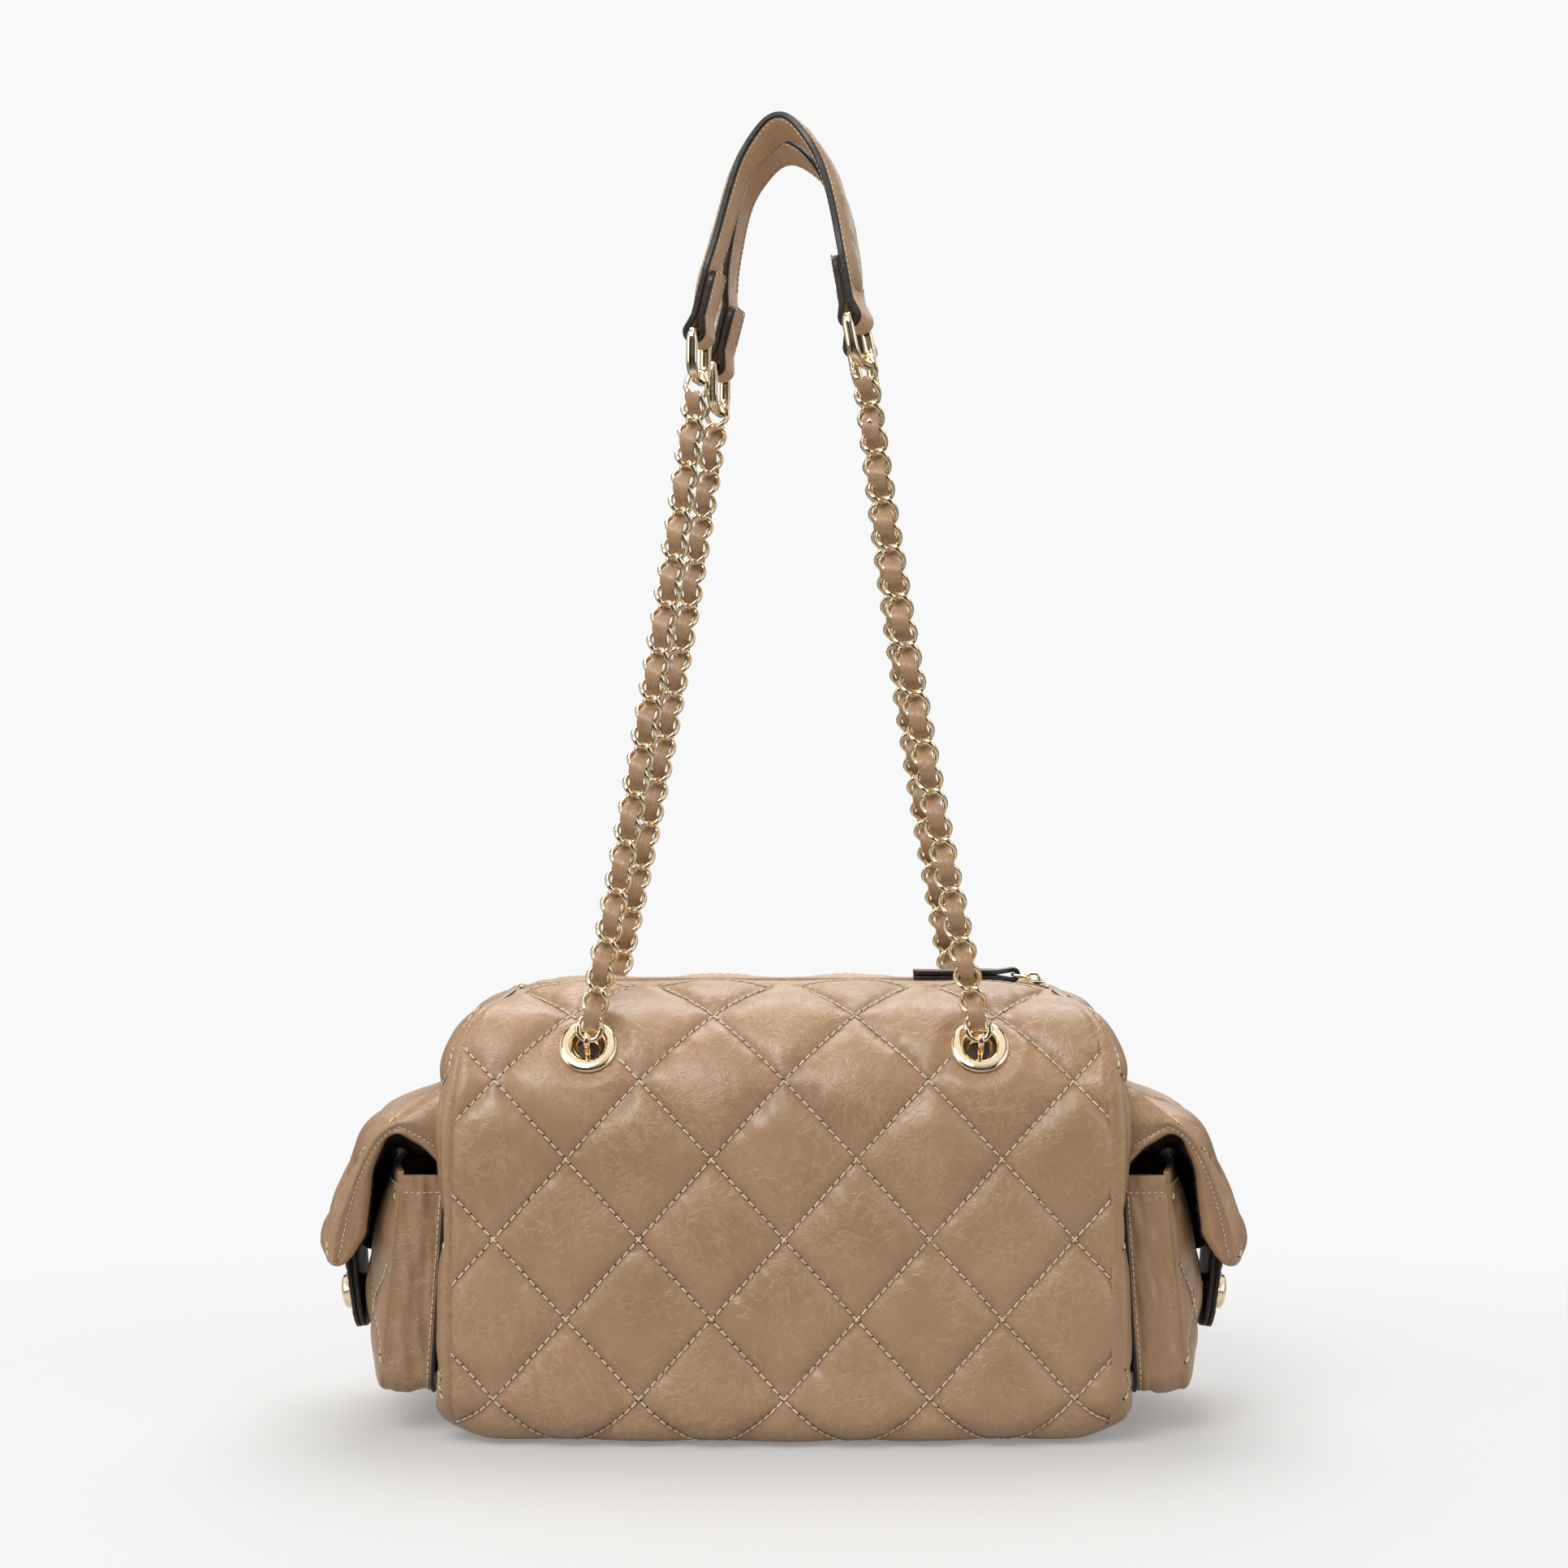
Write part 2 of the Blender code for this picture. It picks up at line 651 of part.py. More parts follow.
class Chain:
    """A chain's route from its bail to its ring, and the frame of any point on it."""

    def __init__(self, corner):
        face = -1 if corner.startswith("back") else 1
        side = -1 if corner.endswith("left") else 1
        handle = corner.split("_")[0]
        self.foot = chain_foot(face, side)
        self.top = chain_top(corner)
        self.outward = Vector((0, -face, 0))
        self.bow = Vector((-side * CHAIN_BOW, 0, 0))
        self.foot_width = Vector((1, 0, 0))
        self.top_width = (chain_top(handle + "_right") - chain_top(handle + "_left")).normalized()
        self.length = (self.top - self.foot).length
        self.pitch = (self.length - LINK_HOOK) / CHAIN_LINKS
        self.half_link = (self.pitch + LINK_HOOK) / 2

    def frame(self, distance):
        """The point that far along, with the chain's direction, its width and its outward face."""
        share = distance / self.length
        point = self.foot.lerp(self.top, share) + self.bow * 4 * share * (1 - share)
        along = (self.top - self.foot + self.bow * 4 * (1 - 2 * share)).normalized()
        width = self.foot_width.lerp(self.top_width, share)
        width = (width - along * width.dot(along)).normalized()
        face = along.cross(width)
        if face.dot(self.outward) < 0:
            face = -face
        return point, along, width, face

    def joint(self, number):
        """How far along the joint above that many links lies."""
        return self.half_link + (number - 0.5) * self.pitch


def link_route(chain, number):
    """One curb link: a rounded loop whose ends are twisted opposite ways, but not at the chain's ends."""
    middle, along, width, face = chain.frame(chain.half_link + number * chain.pitch)
    reach = chain.half_link / cos(LINK_CORNER_ANGLES[0])
    breadth = LINK_HALF_WIDTH / sin(LINK_CORNER_ANGLES[1])
    lowest = 0 if number == 0 else -1
    highest = 0 if number == CHAIN_LINKS - 1 else 1
    route = []
    for turn in LINK_CORNER_ANGLES:
        twist = LINK_TWIST * min(max(cos(turn), lowest), highest)
        side = width * cos(twist) + face * sin(twist)
        route.append(middle + along * reach * cos(turn) + side * breadth * sin(turn))
    return route


def chain_and_lace(corner):
    chain = Chain(corner)
    routes = [link_route(chain, number) for number in range(CHAIN_LINKS)]
    sets = []
    for first, home in ((0, PARTS), (1, CUTTERS)):
        name = f"{corner}_chain" if first == 0 else f"{corner}_odd_links"
        curve = wire_curve(name, routes[first::2], LINK_WIRE / 2, 4, True, LINK_TILTS[first])
        sets.append(as_mesh(add(name, curve, None, home)))
    even, odd = sets
    boolean(even, helper(odd), "UNION", "MANIFOLD")
    even.data.materials.append(METAL)

    stations = [(chain.half_link, 0)]
    for number in range(1, LACE_TOP_JOINT + 1):
        swing = LACE_SWING if number % 2 else -LACE_SWING
        stations += [(chain.joint(number) - LACE_FLAT, swing), (chain.joint(number) + LACE_FLAT, swing)]
    route, widths = [], []
    for distance, swing in stations:
        point, _, width, face = chain.frame(distance)
        route.append(point + face * swing)
        widths.append(width * LACE_WIDTH / 2)
    band(f"{corner}_lace", route, widths, LACE_THICKNESS, LEATHER)


# Rings and straps


def ring_frame(corner):
    """A ring's foot bar centre, its bar direction and its upward direction."""
    side = corner.split("_")[1]
    turn = RING_TURNS[side]
    bar = Vector((sin(turn), cos(turn), 0))
    lean = RING_LEANS[side] * (1 if side == "left" else -1)
    up = Vector((sin(lean), 0, cos(lean)))
    up = (up - bar * up.dot(bar)).normalized()
    foot = chain_top(corner) - up * ((LINK_WIRE + RING_WIRE) / 2 + GAP)
    return foot, bar, up


def ring(corner):
    """A flat loop with nearly square upper corners, where the strap folds, and a rounder foot."""
    foot, bar, up = ring_frame(corner)
    half = (RING_WIDTH - RING_WIRE) / 2
    height = RING_HEIGHT - RING_WIRE
    high, low = RING_TOP_CORNER, RING_FOOT_CORNER
    outline = arc((half - low, low), low, -pi / 2, 0, 3)
    outline += arc((half - high, height - high), high, 0, pi / 2, 2)
    outline += [(-a, b) for a, b in reversed(outline)]
    route = [foot + bar * a + up * b for a, b in outline]
    add(f"{corner}_ring", wire_curve(f"{corner}_ring", [route], RING_WIRE / 2, 6, True), METAL)
    return foot + up * height, bar


def fold_route(centre, bar, lean, outward):
    """The strap's end: up from under the ring's bar, inside and outside of it, as a list of points."""
    up = (Vector((0, 0, cos(lean))) - outward * sin(lean)).normalized()
    out = (outward * cos(lean) + Vector((0, 0, sin(lean)))).normalized()
    bend = RING_WIRE / 2 + GAP + STRAP_THICKNESS / 2
    rest = (STRAP_THICKNESS + GAP) / 2
    inside = [centre - out * rest + up * FOLD_LENGTH, centre - out * rest + up * FOLD_LENGTH * 0.6]
    around = [centre + out * a + up * b for a, b in arc((0, 0), bend, -pi, 0, 6)]
    outside = [centre + out * rest + up * FOLD_LENGTH * 0.6, centre + out * rest + up * FOLD_LENGTH]
    return inside + around + outside


def strap(handle):
    """A padded shoulder strap: a flat band folded round a ring at each end, and the pad on its outside."""
    left, left_bar = ring(f"{handle}_left")
    right, right_bar = ring(f"{handle}_right")
    span = right - left
    outward = Vector((span.x, span.y, 0)).normalized()
    lean_side = 1 if handle == "front" else -1
    left_end = fold_route(left, left_bar, STRAP_LEANS["left"], -outward)
    right_end = fold_route(right, right_bar, STRAP_LEANS["right"], outward)
    middle = (left + right) / 2
    arch = []
    for share, rise in ARCH_SHARES:
        point = middle + span * share / 2
        point.z += (middle.z + STRAP_RISE - point.z) * rise
        point.y += lean_side * STRAP_LEAN * rise
        arch.append(point)
    fixed_left, free_left = left_end[:-1], left_end[-1]
    fixed_right, free_right = right_end[:-1], right_end[-1]
    crown = smooth_route([free_left, *arch, free_right], 3)
    route = fixed_left + crown + list(reversed(fixed_right))
    half = (RING_WIDTH - 2 * RING_WIRE) / 2 - GAP
    reach = (right - left).length
    widths = []
    for point in route:
        share = min(max((point - left).dot(span) / reach**2, 0), 1)
        widths.append(left_bar.lerp(right_bar, share).normalized() * half)
    band(f"{handle}_strap", route, widths, STRAP_THICKNESS, EDGE)

    first, last = round(PAD_START_SHARE * len(crown)), round(PAD_STOP_SHARE * len(crown))
    lift = (STRAP_THICKNESS + PAD_THICKNESS) / 2 + GAP
    pad_route, pad_widths = [], []
    for i in range(first, last):
        side = widths[len(fixed_left) + i]
        along = (crown[i + 1] - crown[i - 1]).normalized()
        out = side.cross(along).normalized()
        out = out if out.z > 0 or out.dot(crown[i] - middle) > 0 else -out
        pad_route.append(crown[i] + out * lift)
        pad_widths.append(side * (1 - PAD_MARGIN / half))
    band(f"{handle}_strap_pad", pad_route, pad_widths, PAD_THICKNESS, LEATHER)


# Pockets, made on the left end and turned round for the right


def pocket_side(half, foot, top, corner):
    """A U outline as points (y, z), down one side, round the foot and up the other."""
    left = arc((corner - half, foot + corner), corner, pi, 3 * pi / 2, 4)
    right = [(-y, z) for y, z in reversed(left)]
    return [(-half, top), *left, *right, (half, top)]


def plate_face(z):
    """The outer face of the pocket's back plate."""
    return plateau(z) + GAP + PLATE_THICKNESS


def seam_face(z):
    """Where the gusset meets the pocket's front."""
    return PLATEAU + POCKET_DEPTH + POCKET_FOOT_DEPTH * 2 * max(1 - z / POCKET_TOP, 0)


def front_face(y, z):
    """The outer face of the pocket's front: it swells most below its middle."""
    foot = POCKET_FOOT + GUSSET_LIFT
    share = (z - foot) / (POCKET_TOP - foot)
    if share < FULLEST_SHARE:
        full = 1 - (1 - share / FULLEST_SHARE) ** 2
    else:
        full = 1 - (1 - MOUTH_BULGE_SHARE) * ((share - FULLEST_SHARE) / (1 - FULLEST_SHARE)) ** 2
    side = 1 - min(abs(y) / (POCKET_WIDTH / 2 - GUSSET_INSET), 1) ** 2
    return seam_face(z) + GAP + FRONT_THICKNESS + FRONT_BULGE * side * full


def pocket_plate():
    outline = pocket_side(POCKET_WIDTH / 2, POCKET_FOOT, POCKET_TOP, POCKET_CORNER)
    points = [Vector((-(plateau(z) + GAP), y, z)) for y, z in outline]
    plate = add("left_pocket_back", prism("pocket_back", points, Vector((-PLATE_THICKNESS, 0, 0))), EDGE)
    twin(plate, "right_pocket_back")


def pocket_gusset():
    half = POCKET_WIDTH / 2 - GUSSET_INSET
    outline = pocket_side(half, POCKET_FOOT + GUSSET_LIFT, POCKET_TOP - GUSSET_HEM, POCKET_CORNER)
    last = len(outline) - 1

    def place(u, v):
        y, z = outline[round(u * last)]
        near, far = plate_face(z) + GAP, seam_face(z)
        return Vector((-(near + (far - near) * v), y, z))

    gusset = add("left_pocket_gusset", grid("pocket_gusset", last, 1, place), LEATHER)
    solidify(gusset, GUSSET_THICKNESS, 1)
    twin(gusset, "right_pocket_gusset")


def pocket_front():
    half = POCKET_WIDTH / 2 - GUSSET_INSET
    foot = POCKET_FOOT + GUSSET_LIFT
    low = arc((half - POCKET_CORNER, foot + POCKET_CORNER), POCKET_CORNER, -pi / 2, 0, 3)
    free = POCKET_TOP - (foot + POCKET_CORNER)
    rows = low + [(half, foot + POCKET_CORNER + free * share) for share in (0.33, 0.67, 1)]
    last = len(rows) - 1

    def place(u, v):
        width, z = rows[round(v * last)]
        y = width * (2 * u - 1)
        return Vector((-front_face(y, z), y, z))

    front = add("left_pocket_front", grid("pocket_front", 6, last, place, Vector((FRONT_THICKNESS, 0, 0))), LEATHER)
    twin(front, "right_pocket_front")


def pocket_flap():
    """A padded flap, one outline carried across its width, that swells outwards below its crest."""
    steps = 6
    last = len(FLAP_SHARES) - 1
    root = PLATEAU + GAP
    shape = bmesh.new()
    rows = []
    for i in range(steps + 1):
        y = FLAP_WIDTH * (i / steps - 0.5)
        side = 1 - (2 * y / FLAP_WIDTH) ** 2
        row = []
        for out, down in FLAP_SHARES:
            swell = FLAP_BULGE * side * smoothstep(out * 2)
            row.append(shape.verts.new((-(root + FLAP_REACH * out + swell), y, FLAP_TOP - FLAP_DROP * down)))
        rows.append(row)
    for a, b in zip(rows, rows[1:]):
        for i in range(last + 1):
            j = (i + 1) % (last + 1)
            shape.faces.new((a[i], a[j], b[j], b[i]))
    shape.faces.new(rows[0])
    shape.faces.new(rows[-1])
    bmesh.ops.recalc_face_normals(shape, faces=shape.faces)
    flap = add("left_pocket_flap", finished_mesh("pocket_flap", shape), LEATHER)
    twin(flap, "right_pocket_flap")


def tab_frame():
    """The frame of the closure tab's outer face: origin at its top middle, Z out of the face, Y down it."""
    x = -(PLATEAU + GAP + FLAP_REACH * TAB_TOP_SHARE)
    z = FLAP_TOP - FLAP_DROP - GAP
    down = Vector((sin(TAB_LEAN), 0, -cos(TAB_LEAN)))
    out = Vector((-cos(TAB_LEAN), 0, -sin(TAB_LEAN)))
    across = down.cross(out)
    frame = Matrix.Translation((x, 0, z))
    frame.col[0][:3], frame.col[1][:3], frame.col[2][:3] = across, down, out
    return frame


def closure_tab():
    """A leather tab under the flap with a round cap on it, and the flat magnetic socket that it meets."""
    half = TAB_WIDTH / 2
    corner = arc((half - TAB_CORNER, TAB_LENGTH - TAB_CORNER), TAB_CORNER, 0, pi / 2, 3)
    outline = [(half, 0), *corner, *[(-a, b) for a, b in reversed(corner)], (-half, 0)]
    points = [Vector((a, b, 0)) for a, b in outline]
    tab = add("left_closure_tab", prism("closure_tab", points, Vector((0, 0, -TAB_THICKNESS))), EDGE)
    tab.matrix_world = tab_frame()
    twin(tab, "right_closure_tab")

    edge = CAP_RADIUS - CAP_ROUNDING
    profile = [(0, CAP_HEIGHT), (edge, CAP_HEIGHT), (CAP_RADIUS, CAP_HEIGHT - CAP_ROUNDING), (CAP_RADIUS, 0), (0, 0)]
    cap = turned("left_tab_cap", profile, METAL)
    cap.matrix_world = tab_frame() @ Matrix.Translation((0, CAP_DROP, GAP))
    twin(cap, "right_tab_cap")

    profile = [(0, SOCKET_THICKNESS), (SOCKET_RADIUS, SOCKET_THICKNESS), (SOCKET_RADIUS, 0), (0, 0)]
    socket = turned("left_snap_socket", profile, METAL)
    depth = TAB_THICKNESS + GAP + SOCKET_THICKNESS
    socket.matrix_world = tab_frame() @ Matrix.Translation((0, CAP_DROP, -depth))
    twin(socket, "right_snap_socket")


clear_scene()
PARTS = new_collection("quilted_shoulder_bag")
CUTTERS = new_collection("cutters")
LEATHER = material("tan_leather", (0.40, 0.29, 0.19), 0.45)
EDGE = material("painted_edge", (0.02, 0.018, 0.018), 0.4)
METAL = material("gold_metal", (0.83, 0.62, 0.32), 0.2, 1.0)
CLOTH = material("dark_lining", (0.035, 0.022, 0.018), 0.6)
TAPE = material("zip_tape", (0.30, 0.21, 0.14), 0.8)
BOARD = material("base_board", (0.10, 0.09, 0.08), 0.8)

long_panels()
base_panel()
end_panels()
lining()
zip_tapes()
zip_pull(zip_slider(zip_teeth()))
eyelets()
for corner_name in CHAIN_TOP_SHARES:
    chain_and_lace(corner_name)
for handle_name in ("front", "back"):
    strap(handle_name)
pocket_plate()
pocket_gusset()
pocket_front()
pocket_flap()
closure_tab()
bpy.context.view_layer.update()
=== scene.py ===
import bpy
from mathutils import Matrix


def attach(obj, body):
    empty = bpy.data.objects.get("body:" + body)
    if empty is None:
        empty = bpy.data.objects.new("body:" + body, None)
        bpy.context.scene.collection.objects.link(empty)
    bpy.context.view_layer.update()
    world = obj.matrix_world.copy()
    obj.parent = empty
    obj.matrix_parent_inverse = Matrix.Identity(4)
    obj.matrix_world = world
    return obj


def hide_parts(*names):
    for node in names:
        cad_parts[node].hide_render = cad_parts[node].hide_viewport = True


bl_info = {
    "name": "Quilted Shoulder Bag",
    "version": (1, 0, 0),
    "blender": (4, 5, 0),
    "location": "View3D > Sidebar > Quilted Bag",
    "description": "Dresses the packed frame of a quilted leather shoulder bag, piece by piece",
    "category": "Object",
}

from math import cos, pi, radians, sin, sqrt

import bpy
import numpy as np
from bpy.props import FloatProperty, FloatVectorProperty, PointerProperty
from mathutils import Matrix, Vector

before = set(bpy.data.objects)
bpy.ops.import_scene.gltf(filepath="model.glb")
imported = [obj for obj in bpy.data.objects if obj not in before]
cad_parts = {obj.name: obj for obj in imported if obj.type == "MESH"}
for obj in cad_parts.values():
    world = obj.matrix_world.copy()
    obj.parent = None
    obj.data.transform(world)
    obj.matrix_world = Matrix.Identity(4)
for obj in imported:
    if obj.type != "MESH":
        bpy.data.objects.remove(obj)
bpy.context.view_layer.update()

# Shapes are worked out in millimetres and scaled when they become meshes
MM = 0.001
SHARP_ANGLE = radians(50)

# The body's section: its size, its two roundings with their middles, and lengths round it from the base seam
HEIGHT = 156.0
HALF_DEPTH = 56.0
BASE_SEAM = 33.0
SEAM_FLAT = 3.0
BASE_RADIUS = 20.0
TOP_RADIUS = 50.0
BASE_CENTRE = HALF_DEPTH - BASE_RADIUS
TOP_CENTRE = HALF_DEPTH - TOP_RADIUS
TOP_CENTRE_Z = HEIGHT - TOP_RADIUS
FACE_FOOT = SEAM_FLAT + BASE_RADIUS * pi / 2
SHOULDER = FACE_FOOT + HEIGHT - TOP_RADIUS - BASE_RADIUS
ZIP_ANGLE = radians(85)
ZIP_EDGE = SHOULDER + TOP_RADIUS * ZIP_ANGLE

# The long panels: half the zip's opening, clearance at the end seams, leather, fold and seam at the zip
HALF_TOP = 97.0
SEAM_GAP = 0.12
PANEL_THICKNESS = 2.8
FOLD_RADIUS = 1.5
ZIP_SEAM = 5.0

# Where stitched lines cross: along the section of the long panels, and above the floor on ends and pockets
FIRST_CROSSING = FACE_FOOT + 50.9
CROSSING_HEIGHT = 70.9

# Ends and pockets: how far out the padding stands, and the pocket's outline, belly and hem
LEFTWARDS = np.array([-1.0, 0, 0])
PLATEAU = 119.55
POCKET_TOP = 92.0
POCKET_FOOT = 14.7
POCKET_HALF = 41.0
POCKET_CORNER = 9.0
POCKET_HEM = 4.2
BELLY = 0.45

# The zip's tapes and teeth, and the pull's ring as (x, z) of its pivot and its bar
TAPE_RADIUS = 47.2
TOOTH_PITCH = 2.3
PULL_PIVOT = (89.05, 155.95)
PULL_BAR = (82.985, 157.239)

# The eyelets' places, and their turned profile as (radius, height): flange first, then the barrel
CORNERS = ("front_left", "front_right", "back_left", "back_right")
EYELET_X = 67.3
EYELET_ANGLE = radians(36.5)
EYELET_ARC = SHOULDER + TOP_RADIUS * EYELET_ANGLE
EYELET_LIP = ((6.0, 0.75), (6.5, 1.12), (7.1, 1.22), (8.9, 1.1), (9.7, 0.78), (10.15, 0.3), (10.25, -0.3))
EYELET_BARREL = ((9.9, -0.7), (7.0, -0.9), (6.5, -1.2), (6.5, -4.9), (0.01, -4.9))

# The photograph: its side, the camera's focal length and the row of the camera's middle, in pixels
PICTURE_SIDE = 1932
FOCAL_PIXELS = 2884
MIDDLE_ROW = 1010

# Where each piece's random relief starts
PANEL_SEEDS = {"front": 100, "back": 400}
END_SEEDS = {"left": 550, "right": 700}
POCKET_SEEDS = {"left": 820, "right": 900}
FLAP_SEEDS = {"left": 1200, "right": 1300}


# Sizes and finishes that a user would change


class QuiltSettings(bpy.types.PropertyGroup):
    """Sizes of the quilting and its stitches"""

    diamond_width: FloatProperty(
        name="Half diamond width",
        description="From one crossing of the quilting to the next, along the bag",
        default=0.0247,
        unit="LENGTH",
    )
    diamond_height: FloatProperty(
        name="Half diamond height",
        description="From one crossing of the quilting to the next, up the panel",
        default=0.0272,
        unit="LENGTH",
    )
    puff: FloatProperty(
        name="Puff",
        description="How far the padding rises between the stitched lines",
        default=0.0033,
        unit="LENGTH",
    )
    stitch_pitch: FloatProperty(
        name="Stitch pitch",
        description="From one stitch to the next",
        default=0.0033,
        unit="LENGTH",
    )
    thread: FloatProperty(
        name="Thread thickness",
        description="Width of the sewing thread",
        default=0.00068,
        unit="LENGTH",
    )


class FinishSettings(bpy.types.PropertyGroup):
    """Colours of the leather, the thread, the paint and the plating"""

    leather: FloatVectorProperty(
        name="Leather",
        description="Colour of the glazed leather",
        subtype="COLOR",
        default=(0.352, 0.212, 0.113),
    )
    # The darker tone mottles the leather, and is also painted as shade in creases and along the stitching
    leather_dark: FloatVectorProperty(
        name="Darker leather and painted shade",
        description="Darker tone of the mottled leather, also painted as shade in creases and along the stitching",
        subtype="COLOR",
        default=(0.195, 0.104, 0.048),
    )
    thread: FloatVectorProperty(
        name="Thread",
        description="Colour of the sewing thread",
        subtype="COLOR",
        default=(0.76, 0.63, 0.45),
    )
    edge_paint: FloatVectorProperty(
        name="Edge paint",
        description="Colour of the painted leather edges",
        subtype="COLOR",
        default=(0.014, 0.011, 0.010),
    )
    gold: FloatVectorProperty(
        name="Gold",
        description="Colour of the plated hardware",
        subtype="COLOR",
        default=(0.93, 0.79, 0.57),
    )


def quilting():
    """The quilting's sizes, as they are set in the panel."""
    return bpy.context.scene.bag_quilting


def finishes():
    """The finishes' colours, as they are set in the panel."""
    return bpy.context.scene.bag_finishes


# Small tools for numbers


def smooth(t):
    """From 0 to 1 with level ends."""
    t = np.clip(t, 0, 1)
    return t * t * (3 - 2 * t)


def dome(t):
    """A quarter circle: 0 at 0, 1 at 1 and beyond."""
    return np.sqrt(1 - (1 - np.clip(t, 0, 1)) ** 2)


def powered(values, power):
    """The values' sizes raised to a power, with their signs kept: it squares off a sine or sharpens it."""
    return np.sign(values) * np.abs(values) ** power


def hashed(p, q, seed):
    """A number from -1 to 1 for each pair of whole numbers, always the same one."""
    h = (p * 374761393 + q * 668265263 + seed * 974634777) & 0xFFFFFFFF
    h = ((h ^ (h >> 13)) * 1274126177) & 0xFFFFFFFF
    return ((h ^ (h >> 16)) & 0xFFFF) / 32767.5 - 1


def noise(a, b, seed):
    """A smooth surface through random heights at the whole numbers, from -1 to 1."""
    i, j = np.floor(a).astype(np.int64), np.floor(b).astype(np.int64)
    u, v = smooth(a - i), smooth(b - j)
    low = hashed(i, j, seed) * (1 - u) + hashed(i + 1, j, seed) * u
    high = hashed(i, j + 1, seed) * (1 - u) + hashed(i + 1, j + 1, seed) * u
    return low * (1 - v) + high * v


def creases(a, b, size, seed):
    """Thin raised lines: the zero line of a warped noise, strong in some places and absent in others."""
    warp = noise(a / size * 1.7, b / size * 1.7, seed + 1) * 0.7
    field = noise(a / size + warp, b / size * 0.8 - warp, seed)
    where = smooth(noise(a / size / 2.2, b / size / 2.2, seed + 2) * 1.4 + 0.35)
    return np.exp(-((field / 0.07) ** 2)) * where


def crinkle(a, b, seed):
    """Glazed leather's relief in millimetres: slow swells, with two sizes of fine raised creases."""
    swell = noise(a / 17, b / 15, seed + 3) * 0.35 + noise(a / 7.5, b / 8, seed + 4) * 0.15
    lines = creases(a + b * 0.3, b, 10, seed + 5) * 0.06 + creases(a, b - a * 0.4, 5.5, seed + 8) * 0.05
    return swell + lines


def unit(vectors):
    """The vectors divided by their lengths."""
    return vectors / np.maximum(np.linalg.norm(vectors, axis=-1, keepdims=True), 1e-9)


def square_to(vectors, direction):
    """Unit vectors at a right angle to a direction, as near to the given ones as they can be."""
    return unit(vectors - direction * np.sum(vectors * direction, axis=1, keepdims=True))


def points_of(x, y, z):
    """Points from three coordinates that are spread to one shape."""
    return np.stack(np.broadcast_arrays(x, y, z), axis=-1)


def facing(up, way):
    """The normals, turned round where they point against a direction."""
    return up * np.where(np.sum(up * way, axis=-1, keepdims=True) < 0, -1, 1)


def normals(grid):
    """Unit normals of a grid of points, from the differences along its two directions."""
    return unit(np.cross(np.gradient(grid, axis=0), np.gradient(grid, axis=1)))


def sample(grid, i, j):
    """The grid's value at fractional rows i and columns j, by blending the four nearest."""
    i = np.clip(i, 0, grid.shape[0] - 1.001)
    j = np.clip(j, 0, grid.shape[1] - 1.001)
    a, b = np.floor(i).astype(int), np.floor(j).astype(int)
    u, v = (i - a)[:, None], (j - b)[:, None]
    low = grid[a, b] * (1 - v) + grid[a, b + 1] * v
    high = grid[a + 1, b] * (1 - v) + grid[a + 1, b + 1] * v
    return low * (1 - u) + high * u


def along(path, closed=False):
    """Unit directions of a path of points."""
    if closed:
        return unit(np.roll(path, -1, 0) - np.roll(path, 1, 0))
    return unit(np.gradient(path, axis=0))


def run_of(path):
    """The length run along a path up to each of its points."""
    return np.concatenate([[0], np.cumsum(np.linalg.norm(np.diff(path, axis=0), axis=1))])


def read_off(at, run, values):
    """The values at given lengths of a run, blended between the points that hold them."""
    return np.stack([np.interp(at, run, values[:, k]) for k in range(values.shape[1])], axis=1)


def resample(path, count):
    """The same path with its points evenly spaced."""
    run = run_of(path)
    return read_off(np.linspace(0, run[-1], count), run, path)


def curve(points, count):
    """A Catmull-Rom curve through the points, at evenly spaced lengths."""
    points = np.asarray(points, float)
    ends = np.vstack([2 * points[0] - points[1], points, 2 * points[-1] - points[-2]])
    t = np.linspace(0, len(points) - 1.0001, 12 * len(points))
    i = t.astype(int)
    f = (t - i)[:, None]
    a, b, c, d = ends[i], ends[i + 1], ends[i + 2], ends[i + 3]
    fine = b + f * (c - a) / 2 + f**2 * (2 * a - 5 * b + 4 * c - d) / 2 + f**3 * (3 * b - a - 3 * c + d) / 2
    return resample(fine, count)


def rounded_box(half_width, half_height, corner, steps=4):
    """A rounded rectangle as (across, up) points, counterclockwise."""
    turns = np.linspace(0, pi / 2, steps + 1)
    out = []
    for k, (a, b) in enumerate(((1, 1), (-1, 1), (-1, -1), (1, -1))):
        angle = turns + k * pi / 2
        centre = (a * (half_width - corner), b * (half_height - corner))
        out.append(np.stack([centre[0] + corner * np.cos(angle), centre[1] + corner * np.sin(angle)], axis=1))
    return np.vstack(out)


def ring_of(radius, sides):
    """A circle as (across, up) points, counterclockwise from the first axis."""
    turns = np.arange(sides) * 2 * pi / sides
    return np.stack([radius * np.cos(turns), radius * np.sin(turns)], axis=1)


def stand(across, out, origin):
    """Matrix of a small turned piece: X across, Z out of the surface, origin on it."""
    matrix = np.eye(4)
    matrix[:3, 0], matrix[:3, 1], matrix[:3, 2] = across, np.cross(out, across), out
    matrix[:3, 3] = origin
    return matrix


# Meshes


def linked(name, data):
    """An object that shows the data, in the scene."""
    obj = bpy.data.objects.new(name, data)
    bpy.context.scene.collection.objects.link(obj)
    return obj


